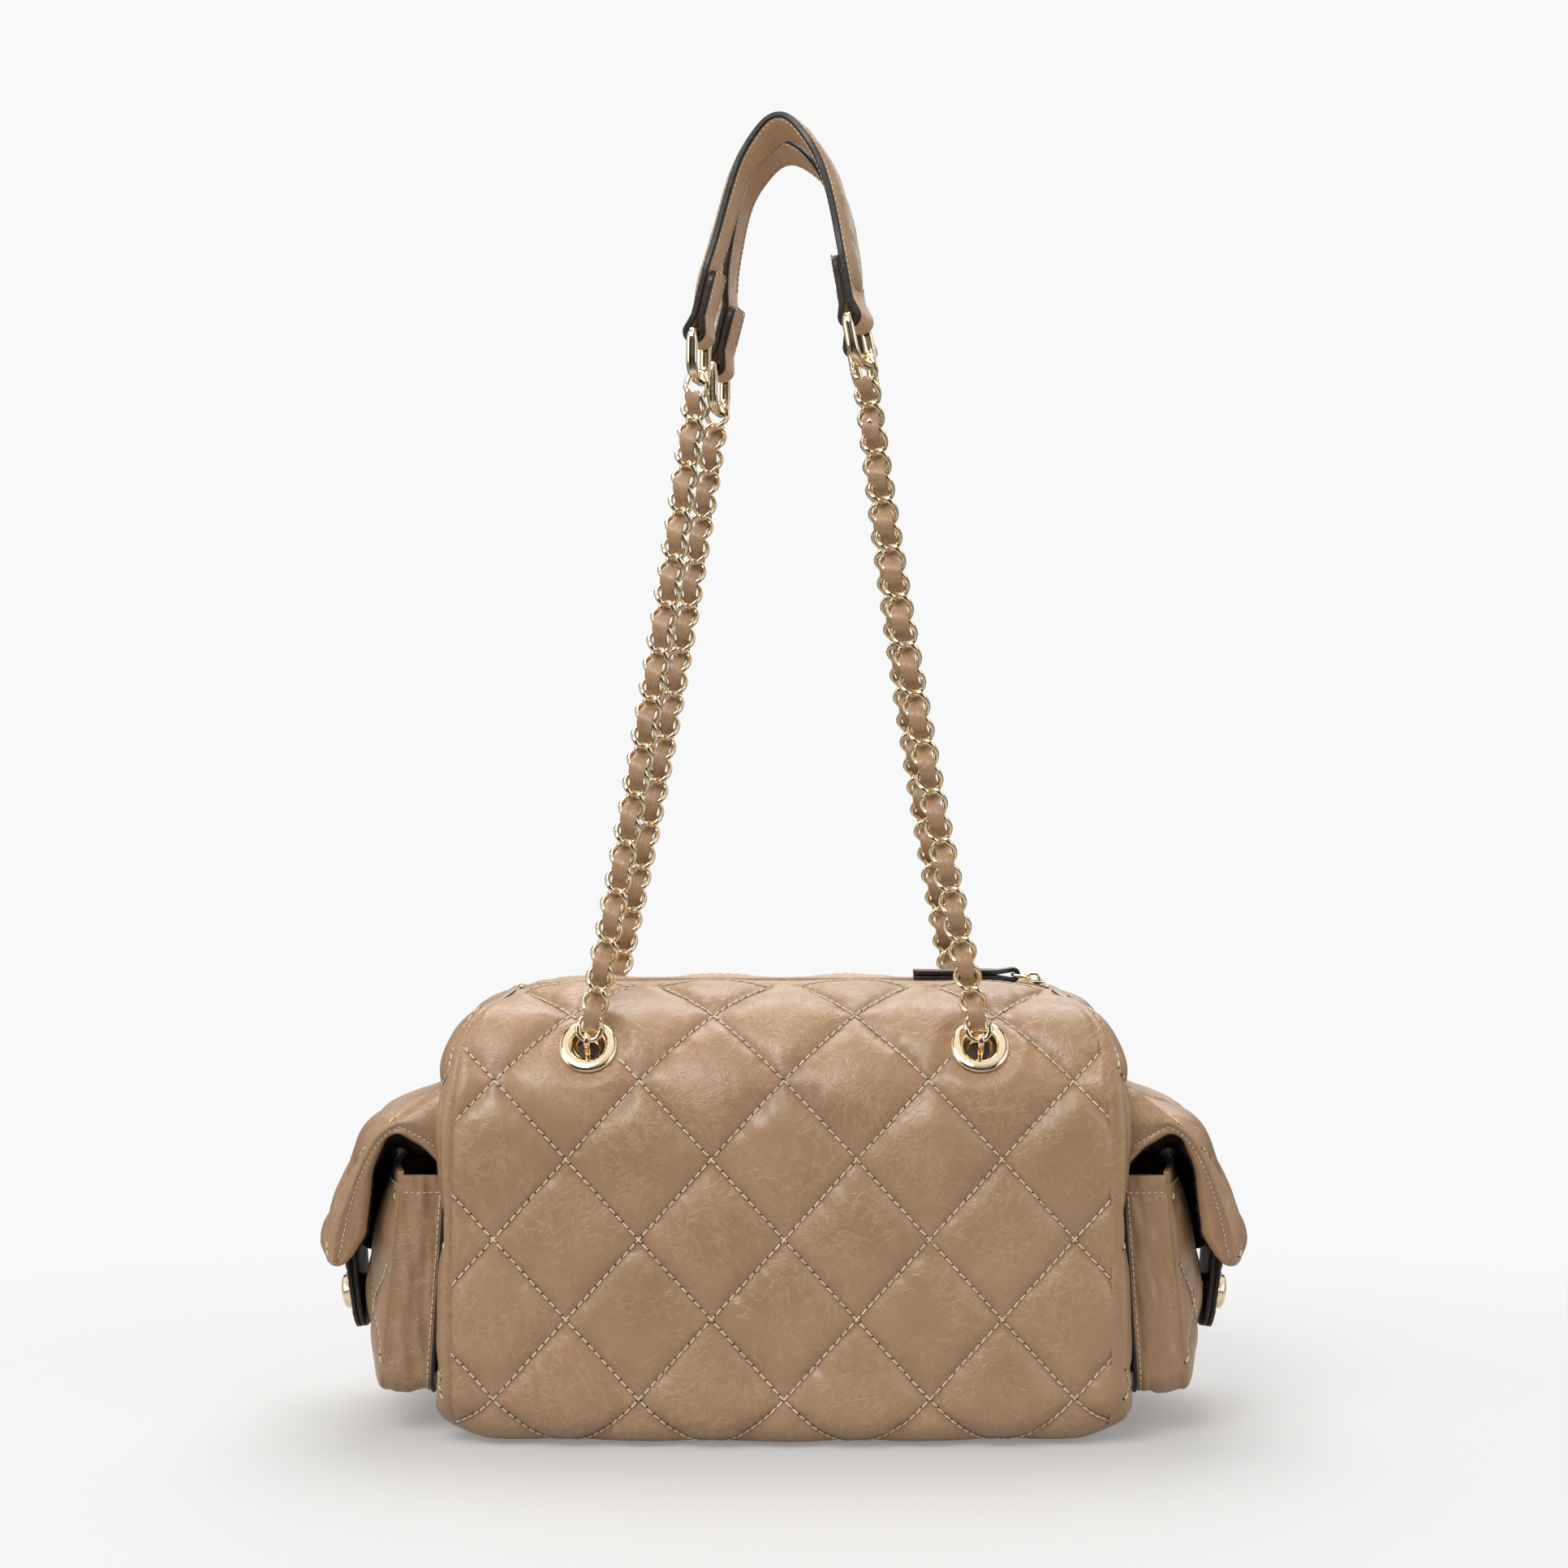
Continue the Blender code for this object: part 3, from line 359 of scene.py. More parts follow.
def make(name, points, quads, caps=(), slots=None, values=None):
    """An object from points in millimetres, four-sided faces and a few many-sided ones."""
    sizes = np.array([4] * len(quads) + [len(cap) for cap in caps], np.int64)
    corners = np.concatenate([np.asarray(quads).ravel(), *[np.asarray(cap) for cap in caps]]).astype(np.int32)
    mesh = bpy.data.meshes.new(name)
    mesh.vertices.add(len(points))
    mesh.vertices.foreach_set("co", (np.asarray(points) * MM).astype(np.float32).ravel())
    mesh.loops.add(len(corners))
    mesh.loops.foreach_set("vertex_index", corners)
    mesh.polygons.add(len(sizes))
    mesh.polygons.foreach_set("loop_start", np.concatenate([[0], np.cumsum(sizes)[:-1]]).astype(np.int32))
    if slots is not None:
        slots = np.concatenate([slots, np.full(len(caps), slots[0])]).astype(np.int32)
        mesh.polygons.foreach_set("material_index", slots)
    mesh.update(calc_edges=True)
    mesh.shade_smooth()
    mesh.set_sharp_from_angle(angle=SHARP_ANGLE)
    for label, numbers in (values or {}).items():
        layer = mesh.attributes.new(label, "FLOAT", "POINT")
        layer.data.foreach_set("value", numbers.astype(np.float32).ravel())
    return linked(name, mesh)


def facing_out(points, quads):
    """The quads, turned round if they enclose a negative volume, and whether they were right as given."""
    a, b, c, d = (points[quads[:, k]] for k in range(4))
    volume = np.einsum("ij,ij->", a, np.cross(b, c)) + np.einsum("ij,ij->", a, np.cross(c, d))
    return quads if volume > 0 else quads[:, ::-1], volume > 0


def wrapped(rows, columns, closed):
    """The quads of a tube of rows of points, each row a closed loop, and the tube closed too if asked."""
    index = np.arange(rows * columns).reshape(rows, columns)
    lower = index if closed else index[:-1]
    upper = np.roll(index, -1, 0) if closed else index[1:]
    quads = np.stack([lower, np.roll(lower, -1, 1), np.roll(upper, -1, 1), upper], axis=-1)
    return quads.reshape(-1, 4)


def loft(name, rings, closed=False, slots=None, values=None):
    """A closed surface through loops of points, one after another, with its two ends capped."""
    rows, columns = rings.shape[:2]
    points = rings.reshape(-1, 3)
    quads, right = facing_out(points, wrapped(rows, columns, closed))
    caps = []
    if not closed:
        first, last = np.arange(columns), np.arange(columns) + (rows - 1) * columns
        caps = [first[::-1], last] if right else [first, last[::-1]]
    if slots is not None:
        slots = np.tile(slots, rows if closed else rows - 1)
    return make(name, points, quads, caps, slots, values)


def sweep(name, path, section, width=None, closed=False, scale=None):
    """A section of (across, up) points carried along a path. width is the across direction at each point."""
    path = np.asarray(path, float)
    direction = along(path, closed)
    if width is None:
        width = plane_normals(path)
    width = square_to(width, direction)
    up = np.cross(direction, width)
    shape = np.broadcast_to(section, (len(path), *np.shape(section)[-2:]))
    if scale is not None:
        shape = shape * np.asarray(scale)[:, None, None]
    rings = path[:, None] + width[:, None] * shape[..., :1] + up[:, None] * shape[..., 1:]
    return loft(name, rings, closed)


def plane_normals(path):
    """One across direction for all of a flat path: the normal of its plane."""
    return np.broadcast_to(np.linalg.svd(path - path.mean(0))[2][2], path.shape)


def turned(name, profile, place, steps):
    """A profile of (radius, height) turned about Z, then moved by a matrix. Ends on the axis are closed."""
    profile, circle, matrix = np.asarray(profile, float), ring_of(1.0, steps), np.array(place)
    rings = points_of(profile[:, :1] * circle[:, 0], profile[:, :1] * circle[:, 1], profile[:, 1:])
    return loft(name, rings @ matrix[:3, :3].T + matrix[:3, 3])


def joined(name, objects):
    """One object from several, each kept as its own shell, with the first one's materials."""
    points, quads, caps, start = [], [], [], 0
    materials = list(objects[0].data.materials)
    for obj in objects:
        mesh = obj.data
        here = np.empty(len(mesh.vertices) * 3)
        mesh.vertices.foreach_get("co", here)
        points.append(here.reshape(-1, 3) / MM)
        for polygon in mesh.polygons:
            face = [start + k for k in polygon.vertices]
            (quads if len(face) == 4 else caps).append(face)
        start += len(mesh.vertices)
        bpy.data.objects.remove(obj)
    made = make(name, np.vstack(points), np.array(quads), caps)
    for item in materials:
        made.data.materials.append(item)
    return made


def copies(name, template, faces, places, axes, slots=None):
    """Many copies of one small shape. axes holds, for each copy, the directions of the template's X, Y, Z."""
    points = places[:, None] + np.einsum("vk,nkc->nvc", template, axes)
    shifts = (np.arange(len(places)) * len(template))[:, None, None]
    quads = (faces[None] + shifts).reshape(-1, 4)
    slots = None if slots is None else np.tile(slots, len(places))
    return make(name, points.reshape(-1, 3), quads, slots=slots)


def stitch_shape():
    """One stitch along X: a short round thread that dives into the leather, and after it a small dark box,
    the painted shade of the needle hole.
    """
    pitch = quilting().stitch_pitch / MM
    half, radius = pitch * 0.455, quilting().thread / MM / 2
    x = np.array([-1, -0.78, -0.35, 0.35, 0.78, 1]) * half
    z = np.array([-0.45, 0.10, 0.26, 0.26, 0.10, -0.45]) * radius * 1.6
    size = np.array([0.30, 0.78, 1, 1, 0.78, 0.30])[:, None]
    circle = ring_of(radius, 6)
    rings = points_of(x[:, None], size * circle[:, 0], z[:, None] + size * circle[:, 1])
    quads = wrapped(6, 6, False)
    ends = np.array([[0, 1, 2, 3], [0, 3, 4, 5]])
    quads = np.vstack([quads, ends[:, ::-1], ends + 30])
    # A small dark box at the leather's face between stitches: painted shade of the needle hole
    a, b = pitch * 0.055, radius * 0.95
    foot = np.array([[-a, -b, -1], [a, -b, -1], [a, b, -1], [-a, b, -1]]) + [pitch / 2, 0, 0.4]
    top = foot * [1, 0.9, 0] + [0, 0, -0.04]
    hole = np.array([[0, 3, 2, 1], [4, 5, 6, 7], [0, 1, 5, 4], [1, 2, 6, 5], [2, 3, 7, 6], [3, 0, 4, 7]])
    slots = np.array([0] * len(quads) + [1] * 6)
    return np.vstack([rings.reshape(-1, 3), foot, top]), np.vstack([quads, hole + 36]), slots


def sew(name, places, tangents, ups, twist, size=1.0):
    """Stitches at places on a surface, along its seam and standing on its normals, each turned a little."""
    template, faces, slots = stitch_shape()
    ups = square_to(ups, tangents)
    tangents = unit(tangents + np.cross(ups, tangents) * twist)
    axes = np.stack([tangents, np.cross(ups, tangents), ups], axis=1)
    return finish(copies(name, template * size, faces, places, axes, slots), "thread", "hole")


def sew_path(name, path, up, lift=0.0, size=1.0):
    """Stitches along a path in space, with an up direction for each of its points."""
    path = np.asarray(path, float)
    run = run_of(path)
    count = max(int(run[-1] / (quilting().stitch_pitch / MM * size)), 2)
    at = (np.arange(count) + 0.5) * run[-1] / count
    tangent = unit(read_off(at, run, along(path)))
    above = unit(read_off(at, run, np.broadcast_to(np.asarray(up, float), path.shape)))
    return sew(name, read_off(at, run, path) + above * lift, tangent, above, 0.06, size)


# Quilting


def lattice():
    """Half a diamond's width and height in millimetres, its edge's length and the space between lines."""
    wide = quilting().diamond_width / MM
    high = quilting().diamond_height / MM
    edge = sqrt(wide**2 + high**2)
    return wide, high, edge, 2 * wide * high / edge


def quilt(a, b, seed):
    """Relief of diamond quilting, and how near each point is to a stitched line.

    Two families of lines cross where a and b are whole numbers of half diamonds whose sum is even.
    Between lines the padding rises steeply, then levels off. Small folds run away from the stitches."""
    wide, high, edge, space = lattice()
    puff = quilting().puff / MM
    pitch = quilting().stitch_pitch / MM
    near, rise, folds = 0, 1, 0
    for sign, family in ((1, 11), (-1, 23)):
        line = (a / wide + sign * b / high) / 2
        off = (line - np.round(line)) * space
        away = np.abs(off)
        run = (a * wide - sign * b * high) / edge
        rise = rise * (1 - np.exp(-((away / 4.6) ** 1.1)))
        fold = noise(run / 1.9, off / 11, seed + family) * 0.20 * np.exp(-away / 3.4)
        long_fold = noise(run / 4.6 + off * 0.08, off / 16, seed + family + 1) * 0.62 * np.exp(-away / 7.5)
        fade = smooth(away / 1.2)
        bite = -0.30 * np.sin(pi * run / pitch) ** 2 * np.exp(-((away / 0.8) ** 2))
        folds = folds + (fold + long_fold) * fade + bite
        # near sets the painted shade that darkens the leather along the stitched lines
        near = np.maximum(near, np.exp(-((away / 1.15) ** 1.6)))
    return puff * (rise - 0.45) + folds, near


def quilt_lines(low, high_corner):
    """Points on every stitched line in a rectangle of the pattern, one point to a stitch."""
    wide, high, edge, _ = lattice()
    pitch = quilting().stitch_pitch / MM
    (a0, b0), (a1, b1) = low, high_corner
    reach = int((abs(a0) + abs(a1)) / wide + (abs(b0) + abs(b1)) / high) + 4
    t = np.arange(-260, 261) * pitch
    out = []
    for sign in (1, -1):
        for k in range(-reach, reach + 1):
            point = np.stack([2 * k * wide + t * wide / edge, -sign * t * high / edge], axis=1)
            inside = (point[:, 0] > a0) & (point[:, 0] < a1) & (point[:, 1] > b0) & (point[:, 1] < b1)
            step = np.array([wide / edge, -sign * high / edge])
            out.append(np.hstack([point[inside], np.broadcast_to(step, (inside.sum(), 2))]))
    return np.vstack(out)


def sew_quilt(name, grid, up, lines, where, lift=0.12):
    """Stitches on a displaced grid. where turns pattern coordinates into the grid's rows and columns."""
    a, b = lines[:, 0], lines[:, 1]
    place = sample(grid, *where(a, b))
    ahead = sample(grid, *where(a + lines[:, 2] * 0.8, b + lines[:, 3] * 0.8))
    behind = sample(grid, *where(a - lines[:, 2] * 0.8, b - lines[:, 3] * 0.8))
    above = unit(sample(up, *where(a, b)))
    return sew(name, place + above * lift, unit(ahead - behind), above, 0.07)


# Finishes: node trees, made once


def nodes_of(material):
    """A material's tree, emptied, with its surface shader and output."""
    material.use_nodes = True
    tree = material.node_tree
    tree.nodes.clear()
    shader = tree.nodes.new("ShaderNodeBsdfPrincipled")
    output = tree.nodes.new("ShaderNodeOutputMaterial")
    tree.links.new(shader.outputs[0], output.inputs[0])
    return tree, shader


def wire(tree, made, inputs):
    """Links each input of a node to a socket, or sets it to a value."""
    for key, value in inputs.items():
        socket = made.inputs[key]
        if isinstance(value, bpy.types.NodeSocket):
            tree.links.new(value, socket)
        else:
            socket.default_value = value
    return made


def node(tree, kind, inputs=None, **settings):
    """A new node with its settings and inputs."""
    made = tree.nodes.new(kind)
    for key, value in settings.items():
        setattr(made, key, value)
    return wire(tree, made, inputs or {})


def maths(tree, operation, *values):
    """One step of arithmetic on numbers."""
    return node(tree, "ShaderNodeMath", dict(enumerate(values)), operation=operation).outputs[0]


def object_place(tree):
    """Coordinates that stay with the object."""
    return node(tree, "ShaderNodeTexCoord").outputs["Object"]


def clouds(tree, place, scale, detail):
    """A cloudy pattern round a half."""
    return node(tree, "ShaderNodeTexNoise", {"Vector": place, "Scale": scale, "Detail": detail}).outputs[0]


def bands(tree, place, scale, direction, distortion=0.0):
    """Stripes, as of woven or twisted yarn."""
    inputs = {"Vector": place, "Scale": scale, "Distortion": distortion}
    return node(tree, "ShaderNodeTexWave", inputs, bands_direction=direction).outputs[0]


def colour_mix(tree, share, first, second):
    """Blends two colours, each a socket or three numbers."""
    first, second = (one if isinstance(one, bpy.types.NodeSocket) else (*one, 1) for one in (first, second))
    return node(tree, "ShaderNodeMix", {0: share, 6: first, 7: second}, data_type="RGBA").outputs[2]


def ramp(tree, value, low, high, start=0.0, stop=1.0):
    """Maps a number from one range to another, held at its ends."""
    made = node(tree, "ShaderNodeMapRange", {0: value, 1: low, 2: high, 3: start, 4: stop})
    return made.outputs[0]


def bump(tree, shader, heights, strength, distance):
    """Adds several (height, share) pairs into one bump."""
    total = maths(tree, "MULTIPLY", *heights[0])
    for height, share in heights[1:]:
        total = maths(tree, "ADD", total, maths(tree, "MULTIPLY", height, share))
    made = node(tree, "ShaderNodeBump", {"Height": total, "Strength": strength, "Distance": distance})
    tree.links.new(made.outputs[0], shader.inputs["Normal"])


def crease_lines(tree, place, turn, size, width, patch_size):
    """Fine creases that run one way: lines where a stretched noise crosses its middle, kept to some patches.

    size is a crease's length and spacing, turn its direction."""
    stretch = {"Vector": place, "Rotation": turn, "Scale": (size[0], size[1], size[1])}
    stretched = node(tree, "ShaderNodeMapping", stretch, vector_type="TEXTURE").outputs[0]
    field = maths(tree, "SUBTRACT", clouds(tree, stretched, 1.0, 3.0), 0.5)
    line = ramp(tree, maths(tree, "ABSOLUTE", field), 0.0, width, 1.0, 0.0)
    shifted = node(tree, "ShaderNodeMapping", {"Vector": place, "Location": turn}).outputs[0]
    patches = clouds(tree, shifted, 1 / patch_size, 1.0)
    return maths(tree, "MULTIPLY", line, ramp(tree, patches, 0.44, 0.62))


# For each family of creases: direction, length and spacing, width, and size of its patches
CREASE_FAMILIES = (
    ((0.3, 0.9, 0.2), (0.021, 0.0052), 0.0300, 0.034),
    ((0.1, -0.5, 0.4), (0.017, 0.0045), 0.0300, 0.029),
    ((0.5, 0.15, 1.1), (0.012, 0.0036), 0.0360, 0.025),
    ((0.2, 1.5, 0.7), (0.008, 0.0042), 0.0390, 0.038),
)


def leather_nodes(tree, shader, light, dark, gloss=0.33, depth=1.0):
    """Glazed crinkled leather: mottled colour, families of fine creases painted paler, pores, painted shade
    along the stitching and seams, and a soft glaze.
    """
    place = object_place(tree)
    warp = node(tree, "ShaderNodeTexNoise", {"Vector": place, "Scale": 45.0, "Detail": 2.0})
    offset = {0: warp.outputs["Color"], 1: (0.5, 0.5, 0.5)}
    moved = node(tree, "ShaderNodeVectorMath", offset, operation="SUBTRACT")
    moved = node(tree, "ShaderNodeVectorMath", {0: moved.outputs[0], "Scale": 0.014}, operation="SCALE")
    moved = node(tree, "ShaderNodeVectorMath", {0: place, 1: moved.outputs[0]}, operation="ADD").outputs[0]
    mottle, cloud = clouds(tree, place, 42.0, 5.0), clouds(tree, place, 11.0, 2.0)
    ridge, *others = (crease_lines(tree, moved, *family) for family in CREASE_FAMILIES)
    for lines in others:
        ridge = maths(tree, "MAXIMUM", ridge, lines)
    pores, rough = clouds(tree, place, 1500.0, 3.0), clouds(tree, place, 260.0, 4.0)
    near = node(tree, "ShaderNodeAttribute", attribute_name="near").outputs["Fac"]
    colour = colour_mix(tree, ramp(tree, mottle, 0.32, 0.70), dark, light)
    colour = colour_mix(tree, ramp(tree, cloud, 0.35, 0.7, 0.0, 0.55), colour, light)
    colour = colour_mix(tree, 0.66, colour, light)
    # Crease lines painted paler: partly their own paler tone, partly a painted highlight on their ridges
    pale = tuple(min(1, value * 1.32) for value in light)
    colour = colour_mix(tree, maths(tree, "MULTIPLY", ridge, 0.62), colour, pale)
    # Painted shade: darker towards stitched lines and seams, where the near attribute is high
    colour = colour_mix(tree, maths(tree, "MULTIPLY", near, 0.50), colour, dark)
    inputs = {
        "Base Color": colour,
        "Roughness": ramp(tree, rough, 0.3, 0.7, gloss - 0.05, gloss + 0.12),
        "Coat Weight": 0.25,
        "Coat Roughness": 0.32,
        "Specular IOR Level": 0.55,
    }
    wire(tree, shader, inputs)
    bump(tree, shader, [(ridge, 0.20), (pores, 0.05), (rough, 0.30), (mottle, 1.2)], 0.60 * depth, 0.0009)


def tan_leather(tree, shader):
    """The leather of the padded pieces."""
    leather_nodes(tree, shader, tuple(finishes().leather), tuple(finishes().leather_dark))


def flat_leather(tree, shader):
    """The same leather where it is pulled flat, on straps, laces and binding."""
    leather_nodes(tree, shader, tuple(finishes().leather), tuple(finishes().leather_dark), 0.40, 0.55)


def strap_leather_painted_light(tree, shader):
    """The shoulder straps' leather: the same tones made half again as light, painted light for their
    undersides, which face down into shade.
    """
    tones = (finishes().leather, finishes().leather_dark)
    # Painted light: the leather's tones and its darker tone made 1.5 times lighter
    light, dark = (tuple(min(1, 1.5 * part) for part in tone) for tone in tones)
    leather_nodes(tree, shader, light, dark, 0.42, 0.5)


def suede_leather(tree, shader):
    """The dull underside of the pull tab."""
    leather_nodes(tree, shader, (0.20, 0.12, 0.065), (0.12, 0.07, 0.04), 0.62, 0.4)


def edge_paint(tree, shader):
    """Thick black edge paint with a faint ripple."""
    place = object_place(tree)
    ripple, dust = clouds(tree, place, 240.0, 3.0), clouds(tree, place, 900.0, 2.0)
    base = tuple(finishes().edge_paint)
    worn = tuple(value * 2.6 + 0.006 for value in base)
    colour = colour_mix(tree, ramp(tree, dust, 0.5, 0.8), base, worn)
    wire(tree, shader, {"Base Color": colour, "Roughness": ramp(tree, ripple, 0.3, 0.7, 0.26, 0.42)})
    bump(tree, shader, [(ripple, 1.0), (dust, 0.1)], 0.3, 0.0004)


def black_lining(tree, shader):
    """Glossy black leather with soft pleats, under the flaps."""
    place = object_place(tree)
    pleat = clouds(tree, place, 130.0, 3.0)
    grain = node(tree, "ShaderNodeTexVoronoi", {"Vector": place, "Scale": 900.0}).outputs[0]
    colour = colour_mix(tree, ramp(tree, pleat, 0.35, 0.7), (0.006, 0.005, 0.005), (0.015, 0.011, 0.010))
    roughness = ramp(tree, pleat, 0.3, 0.7, 0.30, 0.44)
    wire(tree, shader, {"Base Color": colour, "Roughness": roughness, "Specular IOR Level": 0.14})
    bump(tree, shader, [(pleat, 1.0), (grain, 0.06)], 0.4, 0.0010)


def gold_metal(tree, shader):
    """Polished gold plating with faint cloudiness and hairlines."""
    place = object_place(tree)
    cloud, hair = clouds(tree, place, 190.0, 3.0), clouds(tree, place, 1600.0, 2.0)
    base = tuple(finishes().gold)
    warm = tuple(value * share for value, share in zip(base, (0.97, 0.93, 0.86)))
    colour = colour_mix(tree, ramp(tree, cloud, 0.35, 0.68), base, warm)
    roughness = ramp(tree, cloud, 0.3, 0.7, 0.07, 0.13)
    wire(tree, shader, {"Base Color": colour, "Metallic": 1.0, "Roughness": roughness})
    bump(tree, shader, [(cloud, 0.5), (hair, 0.06)], 0.10, 0.0003)


def thread_nodes(tree, shader):
    """Waxed cream thread: two plies that cross at a slant."""
    place = object_place(tree)
    ply, shade = bands(tree, place, 900.0, "DIAGONAL", 2.0), clouds(tree, place, 90.0, 2.0)
    base = tuple(finishes().thread)
    dark = tuple(value * 0.62 for value in base)
    colour = colour_mix(tree, ramp(tree, shade, 0.3, 0.7, 0.0, 0.8), base, dark)
    colour = colour_mix(tree, ramp(tree, ply, 0.0, 1.0, 0.0, 0.25), colour, dark)
    wire(tree, shader, {"Base Color": colour, "Roughness": 0.55})
    bump(tree, shader, [(ply, 1.0)], 0.35, 0.0001)


def needle_hole(tree, shader):
    """The shade of a needle hole."""
    inputs = {"Base Color": (0.060, 0.030, 0.014, 1), "Roughness": 0.9, "Specular IOR Level": 0.1}
    wire(tree, shader, inputs)


def woven_tape(tree, shader):
    """Herringbone zip tape."""
    place = object_place(tree)
    weave = maths(tree, "MULTIPLY", bands(tree, place, 620.0, "X"), bands(tree, place, 460.0, "Y"))
    colour = colour_mix(tree, weave, (0.14, 0.085, 0.05), (0.30, 0.20, 0.125))
    wire(tree, shader, {"Base Color": colour, "Roughness": 0.8})
    bump(tree, shader, [(weave, 1.0)], 0.6, 0.0003)


def lining_cloth(tree, shader):
    """Dark satin-woven lining."""
    place = object_place(tree)
    warp, folds = bands(tree, place, 500.0, "DIAGONAL"), clouds(tree, place, 40.0, 3.0)
    colour = colour_mix(tree, warp, (0.028, 0.017, 0.014), (0.055, 0.034, 0.027))
    wire(tree, shader, {"Base Color": colour, "Roughness": 0.55})
    bump(tree, shader, [(warp, 0.2), (folds, 1.0)], 0.5, 0.0008)


def stiff_board(tree, shader):
    """Grey-black fibre board."""
    fibre = clouds(tree, object_place(tree), 700.0, 5.0)
    colour = colour_mix(tree, fibre, (0.06, 0.055, 0.05), (0.13, 0.12, 0.11))
    wire(tree, shader, {"Base Color": colour, "Roughness": 0.85})
    bump(tree, shader, [(fibre, 1.0)], 0.4, 0.0003)


# For each finish: what makes it, and the part's material that it stands for
FINISHES = {
    "leather": (tan_leather, "tan_leather"),
    "flat_leather": (flat_leather, "tan_leather"),
    "suede": (suede_leather, "tan_leather"),
    "edge": (edge_paint, "painted_edge"),
    "strap_leather_painted_light": (strap_leather_painted_light, "tan_leather"),
    "black": (black_lining, "painted_edge"),
    "gold": (gold_metal, "gold_metal"),
    "thread": (thread_nodes, "tan_leather"),
    "hole": (needle_hole, "tan_leather"),
    "tape": (woven_tape, "zip_tape"),
    "cloth": (lining_cloth, "dark_lining"),
    "board": (stiff_board, "base_board"),
}


def material_named(kind):
    """The material of a finish, made when it is first asked for."""
    found = bpy.data.materials.get("bag_" + kind)
    if found:
        return found
    made = bpy.data.materials.new("bag_" + kind)
    FINISHES[kind][0](*nodes_of(made))
    return made


def finish(obj, *kinds):
    """Gives an object its materials."""
    slots = obj.data.materials
    for place, kind in enumerate(kinds):
        if place < len(slots):
            slots[place] = material_named(kind)
        else:
            slots.append(material_named(kind))
    return obj


def settle(obj, body, *nodes):
    """Rides on a body and, where it stands for CAD nodes, hides them."""
    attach(obj, body)
    if nodes:
        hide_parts(*nodes)


# The two panels and the two ends: each is made once and turned half round for its twin


def as_made(points):
    """The points as they are, for the front panel and the left end."""
    return points


def half_turned(points):
    """The same points turned half round about Z, for the back panel and the right end."""
    return points * np.array([-1.0, -1.0, 1.0])


FACES = ("front", "back")
SIDES = ("left", "right")
TURNS = {"front": as_made, "left": as_made, "back": half_turned, "right": half_turned}
SIGNS = {"front": -1, "left": -1, "back": 1, "right": 1}


def leather_shell(name, turn, outer, inner, near, inner_near=0.0):
    """A closed leather shell from an outer and an inner grid. near is how close a point is to stitching and
    seams, and sets the painted shade there.
    """
    rings = np.concatenate([outer, inner], axis=1)
    values = np.zeros(rings.shape[:2]) + inner_near
    values[:, : outer.shape[1]] = near
    return finish(loft(name, turn(rings), values={"near": values}), "leather")


# The body's section


# The end seam as (height, distance from the middle)
SEAM_POINTS = (
    (0, 113.5),
    (60, 113.5),
    (100, 113.1),
    (117, 112.5),
    (129, 111.7),
    (136, 110.9),
    (141, 109.7),
    (145.7, 107.3),
    (148.9, 104.9),
    (151.9, 101.7),
    (154.1, 99.2),
    (156, 97.2),
)
SEAM_LINE = curve(SEAM_POINTS, 240)


def half_length(z):
    """Distance of the end seam from the middle, at a height of the section."""
    return np.interp(z, SEAM_LINE[:, 0], SEAM_LINE[:, 1])


def droop(x):
    """How far the top edge sinks towards the ends of the zip."""
    x = np.abs(x)
    return 1.9 * smooth((x - 60) / 38) + 2.0 * smooth((x - 88) / 12)


def slumped(points):
    """The filled bag's stance: its feet bulge out between the ends, and the ends lift off the floor."""
    x, y, z = points[..., 0], points[..., 1], points[..., 2]
    middle = np.clip(1 - (x / 116) ** 2, 0, 1) ** 0.8
    foot = 6.2 * np.exp(-((z / 14) ** 2)) + 1.2 * np.sin(pi * np.clip(z / 130, 0, 1))
    spread = np.sign(y) * middle * foot * smooth(np.abs(y) / 30)
    lift = 4.6 * smooth((np.abs(x) - 99) / 21) * (1 - smooth(z / 34))
    return points_of(x, y + spread, np.maximum(z + lift, 0))


def section(s):
    """Half depth, height and outward normal of the body's section, s millimetres round from the base seam."""
    low = np.clip((s - SEAM_FLAT) / BASE_RADIUS, 0, pi / 2)
    high = np.clip((s - SHOULDER) / TOP_RADIUS, 0, ZIP_ANGLE)
    depth = BASE_SEAM + np.clip(s, 0, SEAM_FLAT) + BASE_RADIUS * np.sin(low) - TOP_RADIUS * (1 - np.cos(high))
    height = BASE_RADIUS * (1 - np.cos(low)) + np.clip(s - FACE_FOOT, 0, SHOULDER - FACE_FOOT)
    height = height + TOP_RADIUS * np.sin(high)
    tilt = low - pi / 2 + high
    return depth, height, np.cos(tilt), np.sin(tilt)


def from_seam(y, z):
    """Distance inwards from the end seam, over an end panel."""
    y = np.abs(y)
    side = np.minimum(HALF_DEPTH - y, z)
    foot = BASE_RADIUS - np.hypot(np.maximum(y - BASE_CENTRE, 0), np.minimum(z - BASE_RADIUS, 0))
    foot = np.where((y > BASE_CENTRE) & (z < BASE_RADIUS), foot, side)
    head = TOP_RADIUS - np.hypot(np.maximum(y - TOP_CENTRE, 0), np.maximum(z - TOP_CENTRE_Z, 0))
    return np.where(z > TOP_CENTRE_Z, np.minimum(head, foot), foot)


def from_eyelets(x, s):
    """Distance from the middle of the nearer eyelet, over a long panel."""
    return np.hypot(np.abs(x) - EYELET_X, s - EYELET_ARC)


